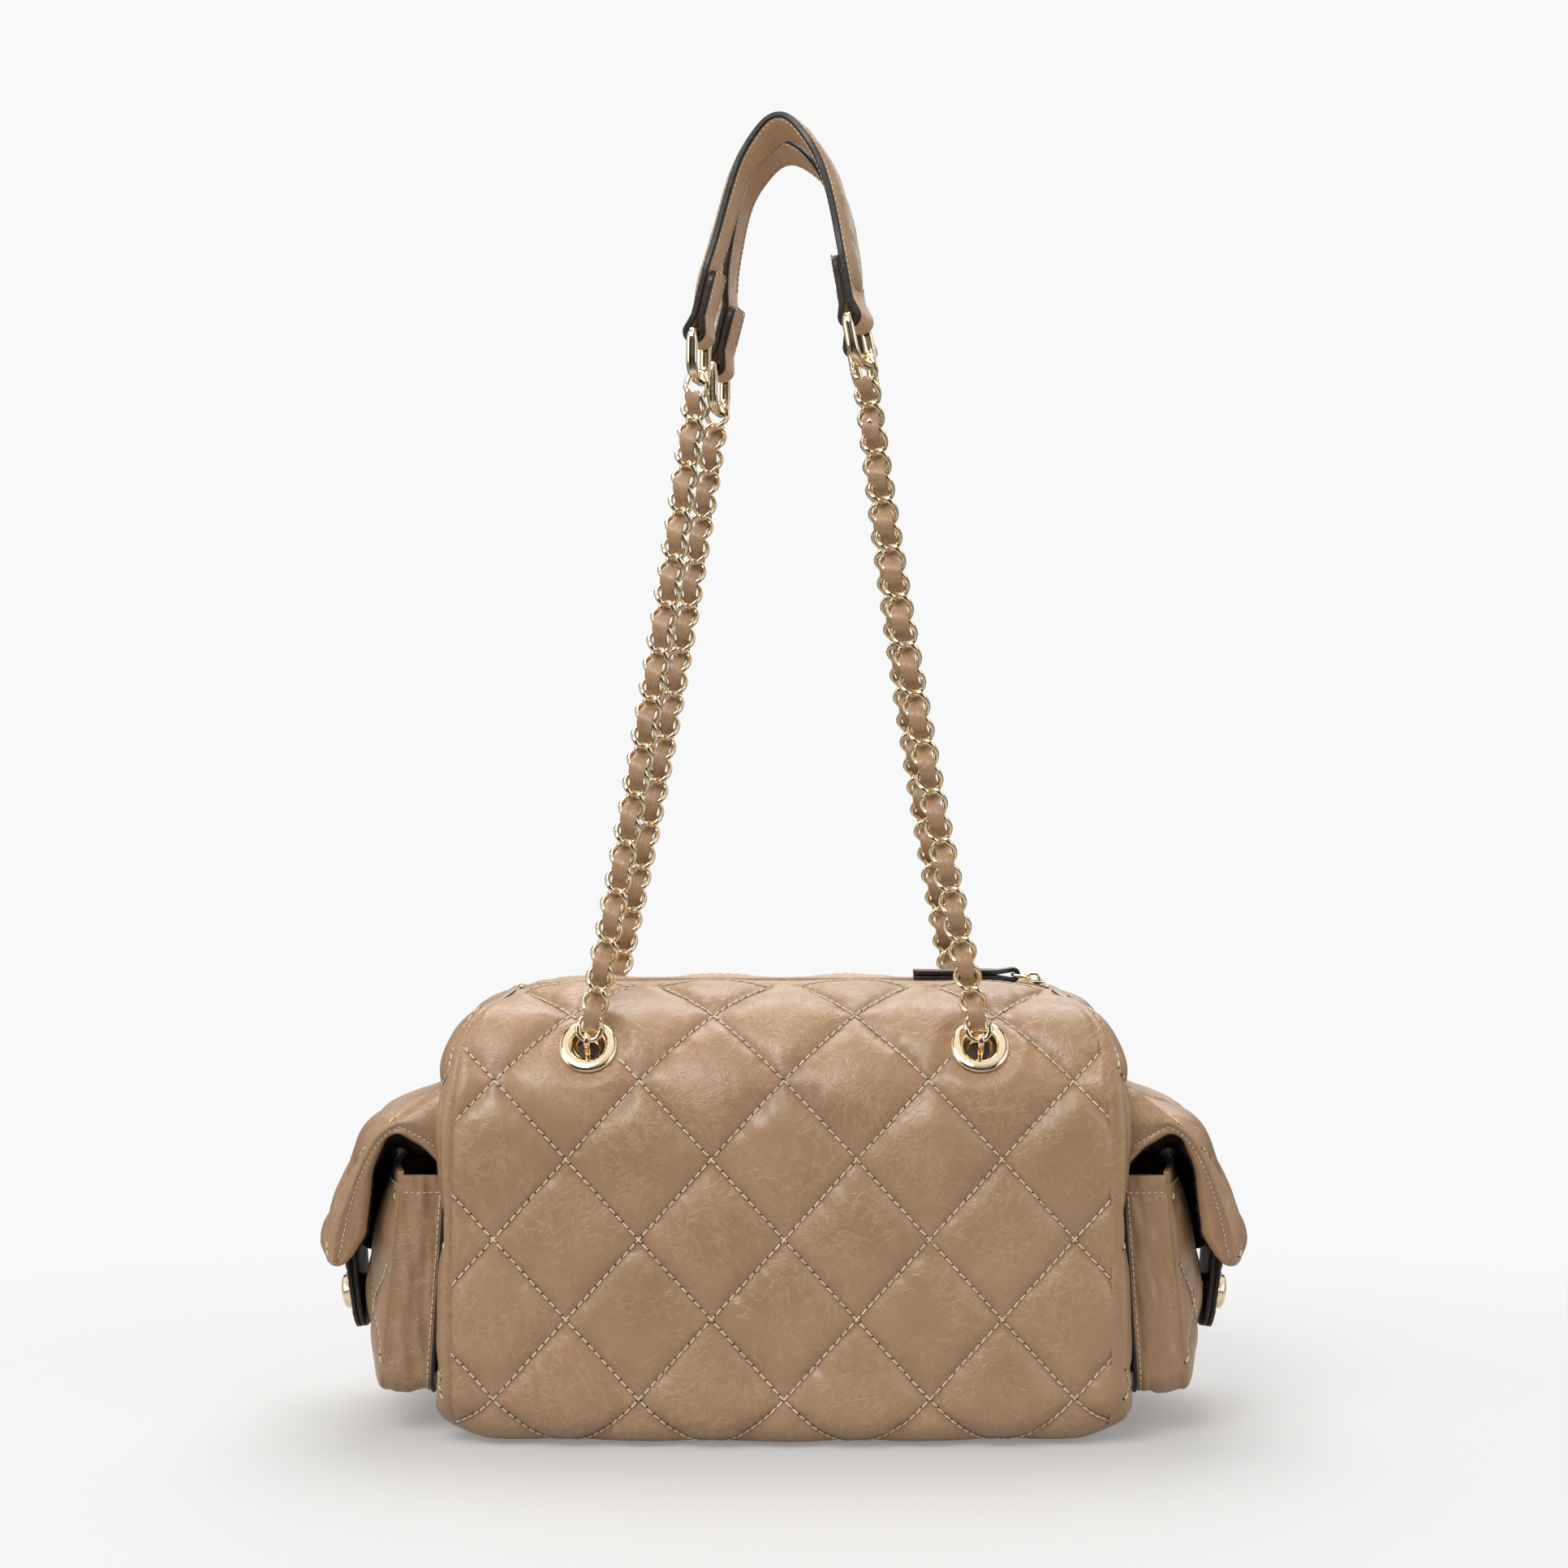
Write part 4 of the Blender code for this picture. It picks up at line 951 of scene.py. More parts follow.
def half_depth(z):
    """Half depth of the section at a height: its two rounded corners and the flat between them."""
    low = BASE_CENTRE + np.sqrt(np.clip(BASE_RADIUS**2 - (BASE_RADIUS - z) ** 2, 0, None))
    high = TOP_CENTRE + np.sqrt(np.clip(TOP_RADIUS**2 - (z - TOP_CENTRE_Z) ** 2, 0, None))
    return np.where(z < BASE_RADIUS, low, np.where(z > TOP_CENTRE_Z, high, HALF_DEPTH))


def plateau(z):
    """How far out the end panels' padding stands: a little more towards the foot."""
    return PLATEAU - 0.9 + 1.8 * np.maximum(1 - z / POCKET_TOP, 0)


# Panels


def panel_relief(x, s, seed):
    """The long panel's relief: quilting, calmed round the eyelets and along the edges, over crinkles."""
    height, near = quilt(x, s - FIRST_CROSSING, seed)
    height = height + crinkle(x, s, seed) * 0.65
    around = from_eyelets(x, s)
    calm = smooth((around - 9.5) / 7)
    swirl = 0.35 * np.exp(-((around - 14) / 4.5) ** 2)
    height = height * (0.12 + 0.88 * calm) + swirl - 0.5 * (1 - calm)
    near = near * calm
    end = half_length(section(s)[1]) - np.abs(x)
    height = height * smooth(end / 6 + 0.2) - 1.2 * (1 - dome(end / 4.6))
    to_edge = ZIP_EDGE - s
    groove = np.exp(-((to_edge - ZIP_SEAM) / 1.0) ** 2)
    height = height * smooth(to_edge / 7 + 0.2) - 0.55 * groove
    # Painted shade in the groove of the zip seam
    near = np.maximum(near * smooth(to_edge / 5), groove * 0.6)
    height = height * (0.15 + 0.85 * smooth((s - 4) / 20)) - 1.2 * (1 - dome(s / 2.2))
    # Painted shade along the end seam, where the panel's edge dips into the groove
    return height, np.maximum(near, np.exp(-((end / 0.9) ** 2)) * 0.45)


def long_panel(face):
    """One long panel: its section is a loop, out over the skin, round the zip edge's fold and back inside."""
    turn = TURNS[face]
    seed = PANEL_SEEDS[face]
    columns, rows = 238, 208
    u = np.linspace(-1, 1, columns)[:, None]
    s = np.linspace(0, ZIP_EDGE, rows)
    depth, height, out_y, out_z = section(s)
    x = u * (half_length(height) - SEAM_GAP)
    skin = points_of(x, -depth, height)
    up = np.broadcast_to(points_of(0 * s, -out_y, out_z), skin.shape)
    relief, near = panel_relief(x, np.broadcast_to(s, x.shape), seed)
    outer = skin + up * relief[..., None]
    sink = droop(x) * smooth((s - SHOULDER - 40) / 34)[None]
    outer[..., 2] -= sink
    skin[..., 2] -= sink

    turns = np.linspace(pi / 2, -pi / 2, 9)[1:, None]
    level, tangent = up[:, -1:], np.array([0, sin(ZIP_ANGLE), cos(ZIP_ANGLE)])
    fold = skin[:, -1:] - level * FOLD_RADIUS + level * (FOLD_RADIUS * np.sin(turns))
    fold = fold + tangent * (FOLD_RADIUS * np.cos(turns))
    depth, height, out_y, out_z = section(np.linspace(ZIP_EDGE - 2, 0, 26))
    depth, level_z = depth - PANEL_THICKNESS * out_y, height - PANEL_THICKNESS * out_z
    inner = points_of(u * (half_length(height) - SEAM_GAP), -depth, level_z)
    outer = slumped(outer)
    inner = np.concatenate([fold, slumped(inner)], axis=1)
    panel = leather_shell(f"{face}_quilted_panel", turn, outer, inner, near)
    punch_eyelets(panel, face)
    settle(panel, "bag", f"{face}_panel")

    def where(a, b):
        """The panel's columns and rows at places of the pattern."""
        arc = b + FIRST_CROSSING
        length = half_length(section(arc)[1]) - SEAM_GAP
        return (a / length + 1) / 2 * (columns - 1), arc / ZIP_EDGE * (rows - 1)

    edge = ZIP_EDGE - FIRST_CROSSING
    lines = quilt_lines((-114, -FIRST_CROSSING + 1.5), (114, edge - 5.5))
    arc = lines[:, 1] + FIRST_CROSSING
    inside = half_length(section(arc)[1]) - np.abs(lines[:, 0])
    lines = lines[(from_eyelets(lines[:, 0], arc) > 10.6) & (inside > 0.7)]
    outer, up = turn(outer), turn(up + np.zeros_like(outer))
    settle(sew_quilt(f"{face}_quilt_stitches", outer, up, lines, where), "bag")
    a = np.arange(-HALF_TOP + 2, HALF_TOP - 2, quilting().stitch_pitch / MM)
    seam = np.stack(np.broadcast_arrays(a, edge - ZIP_SEAM, 1.0, 0.0), axis=1)
    settle(sew_quilt(f"{face}_zip_stitches", outer, up, seam, where), "bag")


def punch_eyelets(panel, face):
    """Cuts the two eyelets' holes through a long panel."""
    for side in (-1, 1):
        cutter = turned("hole", [[6.9, -12], [6.9, 12]], eyelet_frame(side, SIGNS[face]), 48)
        cut = panel.modifiers.new("Hole", "BOOLEAN")
        cut.operation = "DIFFERENCE"
        cut.solver = "MANIFOLD"
        cut.object = cutter
        bake(panel)
        bpy.data.objects.remove(cutter)


def bake(obj):
    """Applies the object's modifiers to its mesh."""
    bpy.context.view_layer.update()
    graph = bpy.context.evaluated_depsgraph_get()
    mesh = bpy.data.meshes.new_from_object(obj.evaluated_get(graph))
    obj.modifiers.clear()
    obj.data = mesh


def base():
    """The flat base, whose rim rounds up to its two seams."""
    x, y = np.meshgrid(np.linspace(-113, 113, 190), np.linspace(-32.6, 32.6, 60), indexing="ij")
    edge = np.minimum(113.2 - np.abs(x), 32.8 - np.abs(y))
    height = 1.3 * (1 - dome(edge / 2.5)) - crinkle(x, y, 31) * 0.25 * smooth(edge / 8) + 0.25
    grids = [points_of(x, y, height), points_of(x, y, 2.5)[:, ::-6]]
    shell = loft("base_leather", slumped(np.concatenate(grids, axis=1)))
    settle(finish(shell, "leather"), "bag", "base_panel")
    for face in ("front", "back"):
        path = slumped(points_of(np.linspace(-110, 110, 60), SIGNS[face] * 29.5, 0.28))
        settle(sew_path(f"base_stitches_{face}", path, (0, 0, -1.0)), "bag")


def inside():
    """The lining, a thin bag of cloth within the panels, and finishes for the hidden board and washers."""
    z = np.linspace(2.7, 149, 44)[:, None]
    circle = ring_of(1.0, 96)
    along_x, along_y = powered(circle[:, 0], 0.16), powered(circle[:, 1], 0.22)
    skins = []
    for inset in (3.6, 4.4):
        half_x = half_length(z + 2) - inset - 1.2 * smooth((z - 120) / 30)
        half_y = half_depth(np.maximum(z, 4)) - inset
        ring = points_of(half_x * along_x, half_y * along_y, z)
        ring[..., 2] += (inset - 3.6) * (z < 3) - droop(ring[..., 0]) * smooth((z - 90) / 60)
        skins.append(slumped(ring))
    bagging = loft("lining_cloth", np.concatenate([skins[0], skins[1][::-1]]))
    settle(finish(bagging, "cloth"), "bag", "lining")
    finish(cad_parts["base_board"], "board")
    for corner in CORNERS:
        finish(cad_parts[f"{corner}_washer"], "gold")


def end_panel(side):
    """A puffed end: its rim rises from the seam like a quarter round, and the quilting runs over it."""
    turn = TURNS[side]
    seed = END_SEEDS[side]
    top = 155.3
    shift = FIRST_CROSSING - FACE_FOOT - CROSSING_HEIGHT
    rows, columns = 172, 132
    spread = np.linspace(-1, 1, columns)
    spread = np.sign(spread) * (0.35 * np.abs(spread) + 0.65 * np.sin(np.abs(spread) * pi / 2))
    z = np.linspace(0, top, rows)[:, None]
    y = (half_depth(z) - 0.05) * spread
    z = z + 0 * y
    inward = np.clip(from_seam(y, z), 0, None)
    rise = (plateau(z) - half_length(z)) * smooth((154.5 - z) / 29)
    out = half_length(z) - 0.3 + (rise + 0.3) * dome(inward / 12.5)
    dip = 1.5 * smooth((np.abs(y) - 37) / 8) * smooth((112 - z) / 30)
    out = out - dip * smooth(inward / 5) * smooth((z - 8) / 40)
    sunk = z - 2.9 * smooth((z - 146) / 9)
    sunk = sunk + 0.75 * np.exp(-(((np.abs(y) - 19) / 8) ** 2)) * smooth((z - 146) / 4)
    skin = points_of(-out, y, sunk)
    up = facing(normals(skin), LEFTWARDS)
    relief, near = quilt(y, z + shift, seed)
    calm = smooth(inward / 4.5 + 0.1)
    relief = (relief * 0.8 + crinkle(y, z, seed) * 0.9) * calm
    pocket_side = (np.abs(y) < 44) & (z < 122)
    flat = smooth((np.maximum(np.abs(y) - 44, z - 123) + 4) / 5)
    relief = relief * flat - 1.5 * (1 - flat) * pocket_side
    relief = relief + 3.0 * np.exp(-(((z - 96) / 7) ** 2)) * smooth((38 - np.abs(y)) / 12)
    welt = np.exp(-((inward - 1.4) / 0.8) ** 2) * 0.30 - np.exp(-((inward - 3.0) / 0.7) ** 2) * 0.30
    outer = slumped(skin + up * (relief + welt)[..., None])
    inner = slumped(points_of(2.4 - half_length(z), y, sunk)[:, ::-6])
    # Painted shade along the end seam's groove, and along the stitched lines
    near = np.maximum(near * calm * flat, np.exp(-((inward / 0.8) ** 2)) * 0.45)
    panel = leather_shell(f"{side}_end_leather", turn, outer, inner, near)
    settle(panel, "bag", f"{side}_end_panel")

    def where(a, b):
        """The end's rows and columns at places of the pattern."""
        height = b - shift
        return height / top * (rows - 1), np.interp(a / half_depth(height), spread, np.arange(columns))

    lines = quilt_lines((-56, shift + 1), (56, shift + 154))
    height = lines[:, 1] - shift
    hidden = (np.abs(lines[:, 0]) < 43) & (height < 121)
    lines = lines[(from_seam(lines[:, 0], height) > 0.8) & ~hidden]
    settle(sew_quilt(f"{side}_end_stitches", turn(outer), turn(up), lines, where), "bag")


# The zip


def zip_fastener():
    """Woven tapes, two rows of separate teeth that interlock, and the stops."""
    for face in ("front", "back"):
        sign = SIGNS[face]
        angle = np.linspace(radians(72), radians(90), 14)
        y = np.concatenate([TOP_CENTRE + TAPE_RADIUS * np.cos(angle), [4.4, 3.0]])
        z = np.concatenate([TOP_CENTRE_Z + TAPE_RADIUS * np.sin(angle), [153.15, 153.1]])
        x = np.linspace(-96, 96, 120)[:, None]
        upper = points_of(x, sign * y, z - droop(x))
        lower = upper[:, ::-1] - np.array([0, 0, 0.75])
        tape = loft(f"{face}_zip_tape_cloth", np.concatenate([upper, lower], axis=1))
        settle(finish(tape, "tape"), "bag", f"zip_tape_{face}")

        outline = rounded_box(0.62, 1.0, 0.3, 2)
        depth = np.array([0.35, 0.6, 2.5, 2.9])[:, None]
        wide = np.array([0.75, 1.0, 0.85, 0.6])[:, None]
        template = points_of(wide * outline[:, 0], sign * depth, wide * outline[:, 1]).reshape(-1, 3)
        faces, _ = facing_out(template, wrapped(4, len(outline), False))
        count = int(2 * 94.2 / TOOTH_PITCH)
        x = (np.arange(count) - (count - 1) / 2) * TOOTH_PITCH + (TOOTH_PITCH / 4) * sign
        axes = np.broadcast_to(np.eye(3), (count, 3, 3))
        teeth = copies(
            f"{face}_zip_tooth_row", template, faces, points_of(x, 0 * x, 152.85 - 0.6 * droop(x)), axes
        )
        settle(finish(teeth, "gold"), "bag", f"zip_teeth_{face}")
    for side in ("left", "right"):
        path = points_of(SIGNS[side] * 95.3, np.linspace(-2.6, 2.6, 9), 152.9)
        taper = np.array([0.5, 0.85, 1, 1, 1, 1, 1, 0.85, 0.5])
        stop = sweep(f"{side}_zip_stop", path, rounded_box(0.65, 1.0, 0.4), scale=taper)
        settle(finish(stop, "gold"), "bag", f"zip_stop_{side}")


def slider():
    """The slider's two plates and web, swelling at its nose, and the arched bridge for the pull ring."""
    x = np.linspace(0, 1, 26)[:, None]
    wide = 3.3 + 1.1 * smooth(x / 0.55) - 1.2 * smooth((x - 0.86) / 0.14)
    thick = 0.45 * np.minimum(dome(x / 0.08), dome((1 - x) / 0.08)) + 0.02
    outline = rounded_box(1, 1, 0.34, 3)
    pieces = []
    for low, high in ((154.25, 155.05), (150.7, 151.5)):
        rings = points_of(85.6 + 9 * x, wide * outline[:, 0], (low + high) / 2 + thick * outline[:, 1])
        pieces.append(loft("plate", rings))
    web = points_of(90.1, 0.0, np.linspace(151.2, 154.5, 4))
    pieces.append(sweep("web", web, rounded_box(0.19, 4.0, 0.1, 1), width=np.tile([0, 1.0, 0], (4, 1))))
    turns = np.linspace(pi, 0, 17)
    arch = points_of(90.1 + 2.65 * np.cos(turns), 0.0, 155.4 + 2.15 * np.sin(turns))
    arch = np.vstack([[87.45, 0, 154.7], arch, [92.75, 0, 154.7]])
    pieces.append(sweep("arch", arch, rounded_box(1.0, 0.62, 0.45, 3), width=np.tile([0, 1.0, 0], (19, 1))))
    for piece in pieces:
        finish(piece, "gold")
    settle(joined("slider_body", pieces), "zip_slider", "zip_slider")


def pull():
    """The slider's round-cornered ring, and the folded two-layer leather tab with thick black edges."""
    pivot, bar = np.array(PULL_PIVOT), np.array(PULL_BAR)
    middle = (pivot + bar) / 2
    direction = unit(pivot - bar)
    outline = rounded_box(np.linalg.norm(pivot - bar) / 2, 2.65, 1.8, 10)
    forward = outline[:, 0]
    path = points_of(middle[0] + direction[0] * forward, outline[:, 1], middle[1] + direction[1] * forward)
    ring = sweep("pull_link", path, ring_of(0.65, 14), closed=True)
    settle(finish(ring, "gold"), "pull_ring", "zip_pull_ring")

    turns = np.linspace(pi / 2, -pi / 2, 15)
    radius = 1.88
    fold = points_of(bar[0] + radius * np.cos(turns), 0.0, bar[1] + radius * np.sin(turns))
    end = bar[0] - 36
    x = np.linspace(end, bar[0] - 5.5, 40)
    upper = points_of(x, 0.0, bar[1] + 1.05 + 0.12 * np.sin(x / 5))
    x = x[::-1]
    lower = points_of(x, 0.0, bar[1] - 1.03 - 0.06 * np.sin(x / 6))
    path = np.vstack([upper, fold, lower])
    distance = bar[0] - path[:, 0]
    corner = np.clip((path[:, 0] - end) / 2.4, 0, 1)
    half = 1.75 + (4.95 - 1.75) * smooth((distance - 3.4) / 4.2) - 1.6 * (1 - np.sqrt(1 - (1 - corner) ** 2))
    width = np.tile([0, 1.0, 0], (len(path), 1))
    tab = strap_band("pull_tab_leather", path, width, half, 1.7, ("suede", "edge"))
    settle(tab, "pull_tab", "zip_pull_tab")


def strap_band(name, path, width, half, thick, kinds, bulge=0.12, crease=0.0):
    """A leather band with painted edges: flat faces in one finish, rounded, twice-ridged rims in another."""
    path = np.asarray(path, float)
    direction = along(path)
    width = square_to(width, direction)
    up = np.cross(direction, width)
    half = np.broadcast_to(np.asarray(half, float), (len(path),))
    across = np.linspace(-1, 1, 11)
    crown = bulge * (1 - across**2) - crease * (np.abs(across) < 0.1)
    rim = np.linspace(-pi / 2, pi / 2, 9)[1:-1]
    h = thick / 2
    ridge = 1 - 0.20 * np.cos(4 * rim)
    right = np.stack([1 + 0 * rim, np.sin(rim)], axis=1)
    top = np.stack([across[::-1], np.ones(11)], axis=1)
    left = np.stack([-1 + 0 * rim, -np.sin(rim)], axis=1)
    floor = np.stack([across, -np.ones(11)], axis=1)
    template = np.vstack([floor, right, top, left])
    push = np.concatenate([0 * across, np.cos(rim) * ridge, 0 * across, -np.cos(rim) * ridge]) * h * 0.8
    lift = np.concatenate([-crown, 0 * rim, crown[::-1], 0 * rim])
    body = half[:, None] - h * 0.8
    a = body * template[None, :, 0] + push[None]
    b = h * template[None, :, 1] + lift[None]
    rings = path[:, None] + width[:, None] * a[..., None] + up[:, None] * b[..., None]
    slots = np.ones(len(template), int)
    slots[:10] = 0
    slots[len(floor) + len(right) : len(floor) + len(right) + 10] = 0
    return finish(loft(name, rings, slots=slots), *kinds)


# Eyelets


def eyelet_frame(side, face):
    """Matrix of an eyelet: Z out of the panel, origin on its skin. side is -1 at the left, face in front."""
    y = TOP_CENTRE + TOP_RADIUS * cos(EYELET_ANGLE)
    z = TOP_CENTRE_Z + TOP_RADIUS * sin(EYELET_ANGLE)
    tilt = Matrix.Rotation(-face * (pi / 2 - EYELET_ANGLE), 4, "X")
    return Matrix.Translation((side * EYELET_X, face * y, z)) @ tilt


def eyelets():
    """Dished cups with a flat polished flange, and a wire bail on the floor of each."""
    for corner in CORNERS:
        face, side = (SIGNS[word] for word in corner.split("_"))
        place = eyelet_frame(side, face)
        bowl = np.linspace(0, pi / 2, 12)
        cup = np.stack([5.75 * np.sin(bowl), -4.2 + 4.4 * (1 - np.cos(bowl))], axis=1)
        cup[0, 0] = 0.01
        piece = turned(f"{corner}_eyelet_cup", np.vstack([cup, EYELET_LIP, EYELET_BARREL]), place, 72)
        settle(finish(piece, "gold"), "bag", f"{corner}_eyelet")

        turns = np.linspace(0, pi, 21)
        crown = points_of(0.0, 2.3 * np.cos(turns), 4 + 2.3 * np.sin(turns))
        path = np.vstack([[0, 2.5, -4.0], [0, 2.3, 0.5], crown, [0, -2.3, 0.5], [0, -2.5, -4.0]])
        matrix = np.array(place)
        path = resample(path, 40) @ matrix[:3, :3].T + matrix[:3, 3]
        wire_section = rounded_box(1.0, 0.85, 0.7, 3)
        bail = sweep(f"{corner}_bail_wire", path, wire_section, width=np.tile([1.0, 0, 0], (40, 1)))
        settle(finish(bail, "gold"), "bag", f"{corner}_bail")


# Laced chains


# Middles of the chains' upper ends, the number of links in each, and how far two links overlap
CHAIN_TOPS = {
    "front_left": (-30.689, -10.024, 374.295),
    "front_right": (27.526, -28.0, 376.5),
    "back_left": (-24.295, 17.976, 367.68),
    "back_right": (30.016, 0.0, 371.428),
}
LINKS = 28
HOOK = 1.5


class Route:
    """A chain's line from its bail to its ring, and the frame of any point on it."""

    def __init__(self, corner):
        """A straight line between the two ends, bowed inwards a little."""
        handle, end = corner.split("_")
        face, side = SIGNS[handle], SIGNS[end]
        self.foot = np.array(eyelet_frame(side, face) @ Vector((0, 0, 4.0)))
        self.top = np.array(CHAIN_TOPS[corner])
        self.outward = np.array([0, float(face), 0])
        self.bow = np.array([-side * 2.4, 0, 0])
        left, right = np.array(CHAIN_TOPS[handle + "_left"]), np.array(CHAIN_TOPS[handle + "_right"])
        self.top_width = unit(right - left)
        self.length = np.linalg.norm(self.top - self.foot)
        self.pitch = (self.length - 0.7) / LINKS
        self.half = (self.pitch + 0.7) / 2

    def at(self, distance):
        """Points at distances from the foot, with their directions along, across and out of the chain."""
        share = np.atleast_1d(distance)[:, None] / self.length
        point = self.foot + (self.top - self.foot) * share + self.bow * 4 * share * (1 - share)
        direction = unit(self.top - self.foot + self.bow * 4 * (1 - 2 * share))
        width = np.array([1.0, 0, 0]) * (1 - share) + self.top_width * share
        width = square_to(width, direction)
        face = np.cross(direction, width)
        face = face * np.sign(face @ self.outward)[:, None]
        return point, direction, width, face

    def joint(self, number):
        """Distance from the foot to the joint after so many links."""
        return self.half + (number - 0.5) * self.pitch


def chain(corner):
    """Curb links: each a loop whose two ends are turned opposite ways, so that the links lie flat."""
    route = Route(corner)
    steps, sides = 32, 9
    turns = np.arange(steps) * 2 * pi / steps
    circle = ring_of(1.0, sides)
    long_way, wide_way = powered(np.cos(turns), 0.86)[:, None], powered(np.sin(turns), 0.80)[:, None]
    size = (0.84 + 0.10 * np.abs(np.sin(turns)))[:, None, None]
    points, quads = [], []
    reach = (route.pitch + HOOK) / 2
    for number in range(LINKS):
        middle, direction, width, face = (part[0] for part in route.at(route.half + number * route.pitch))
        lowest, highest = (0 if number == 0 else -1), (0 if number == LINKS - 1 else 1)
        twist = radians(52) * np.sin(np.clip(np.cos(turns), lowest, highest) * pi / 2)
        side = width * np.cos(twist)[:, None] + face * np.sin(twist)[:, None]
        stretch, shift = reach, 0
        if number in (0, LINKS - 1):
            stretch, shift = (reach + route.half) / 2, (reach - route.half) / 2 * (1 if number == 0 else -1)
        path = middle + direction * (shift + stretch * long_way) + side * 4.02 * wide_way
        tangent = along(path, True)
        across = unit(np.cross(tangent, unit(path - middle) + 1e-6))
        other = np.cross(tangent, across)
        outline = across[:, None] * circle[None, :, :1] * 0.95 + other[:, None] * circle[None, :, 1:] * 1.05
        points.append((path[:, None] + size * outline).reshape(-1, 3))
        quads.append(wrapped(steps, sides, True) + number * steps * sides)
    points, quads = np.vstack(points), np.vstack(quads)
    faces, _ = facing_out(points, quads)
    obj = make(f"{corner}_curb_chain", points, faces)
    settle(finish(obj, "gold"), corner.split("_")[0] + "_chains", f"{corner}_chain")


# The joint at which each ribbon ends, and the joint at which a front ribbon's rivet sits
LACE_TOPS = {"front_left": 27.0, "front_right": 27.0, "back_left": 27.1, "back_right": 26.6}
RIVET_JOINTS = {"front_left": 25.85, "front_right": 25.2}
RIVET_HEAD = ((0.01, 0.55), (0.6, 0.5), (1.0, 0.25), (1.15, -0.1), (1.1, -0.6), (0.01, -0.6))


def lace(corner):
    """The ribbon: over one joint, under the next, curling a little where the links squeeze it."""
    route = Route(corner)
    body = corner.split("_")[0] + "_chains"
    first, last = 0.35, LACE_TOPS[corner]
    position = np.linspace(first, last, 430)
    phase = np.cos(pi * position)
    swing = -powered(phase, 0.75) * 2.75 * smooth((position - 0.2) / 0.6)
    point, _, width, face = route.at(route.joint(position))
    wobble = noise(position * 1.3, 0 * position + 3.3, 61) * 0.25
    path = point + face * swing[:, None] + width * wobble[:, None]
    half = 2.95 - 0.55 * (1 - np.abs(phase)) ** 1.5
    tip = np.minimum(np.clip((position - first) / 0.06, 0, 1), np.clip((last - position) / 0.06, 0, 1))
    half = half * (0.86 + 0.14 * tip)
    tilt = 0.22 * np.sin(pi * position)
    width = width * np.cos(tilt)[:, None] + face * np.sin(tilt)[:, None]
    kinds = ("flat_leather", "flat_leather")
    band = strap_band(f"{corner}_ribbon", path, width, half, 1.05, kinds, 0.22, 0.14)
    settle(band, body, f"{corner}_lace")
    if corner in RIVET_JOINTS:
        spot, _, across, out = (part[0] for part in route.at(route.joint(RIVET_JOINTS[corner])))
        rivet = turned(f"{corner}_lace_rivet", RIVET_HEAD, stand(across, out, spot + out * 3.4), 20)
        settle(finish(rivet, "gold"), body)


# Rings and straps


# Turn and lean of the rings and of the straps' ends
RING_TURNS = {"left": radians(13), "right": radians(22)}
RING_LEANS = {"left": radians(1), "right": radians(-12)}
STRAP_LEANS = {"left": radians(15), "right": radians(11)}


# Each strap's line as (share of the half span, share of the rise) between its rings
ARCHES = {
    "front": (
        (-0.72, 0.45), (-0.47, 0.765), (-0.22, 0.905), (0.08, 1.01),
        (0.39, 0.905), (0.64, 0.76), (0.77, 0.59), (0.86, 0.41),
    ),
    "back": (
        (-0.84, 0.45), (-0.65, 0.79), (-0.42, 0.95), (-0.08, 1.06),
        (0.40, 0.94), (0.70, 0.76), (0.81, 0.59), (0.88, 0.41),
    ),
}
ARCH_RISE = 72.6
STRAP_FOLD = 22.5


def ring_place(corner):
    """A ring's foot bar centre, its bar's direction and its upward direction."""
    side = corner.split("_")[1]
    turn, lean = RING_TURNS[side], RING_LEANS[side]
    bar = np.array([sin(turn), cos(turn), 0])
    up = np.array([sin(lean), 0, cos(lean)])
    up = unit(up - bar * (up @ bar))
    foot = np.array(CHAIN_TOPS[corner]) - up * 3.0
    return foot, bar, up


def handle_ring(corner):
    """An oval ring with square shoulders under the strap, and flattened thicker legs."""
    foot, bar, up = ring_place(corner)
    half, height = 9.4, 16.3
    turns = np.linspace(-pi / 2, 0, 9)
    low = np.stack([half - 6.4 + 6.4 * np.cos(turns), 6.4 + 6.4 * np.sin(turns)], axis=1)
    turns = np.linspace(0, pi / 2, 7)
    high = np.stack([half - 2.9 + 2.9 * np.cos(turns), height - 2.9 + 2.9 * np.sin(turns)], axis=1)
    right = np.vstack([low, high])
    outline = np.vstack([right, right[::-1] * np.array([-1, 1]), right[:1]])
    outline = resample(outline, 73)[:-1]
    path = foot + bar * outline[:, :1] + up * outline[:, 1:]
    leg = smooth((np.abs(outline[:, 0]) - 5.5) / 3) * smooth((height - 1 - outline[:, 1]) / 3)
    shape = rounded_box(1.6, 1.6, 1.3, 4)[None] * np.stack([1 + 0.28 * leg, 1 - 0.1 * leg], axis=1)[:, None]
    plane = np.cross(bar, up)
    ring = sweep(f"{corner}_oval_ring", path, shape, width=np.tile(plane, (72, 1)), closed=True)
    settle(finish(ring, "gold"), corner.split("_")[0] + "_handle", f"{corner}_ring")
    return foot + up * height, bar


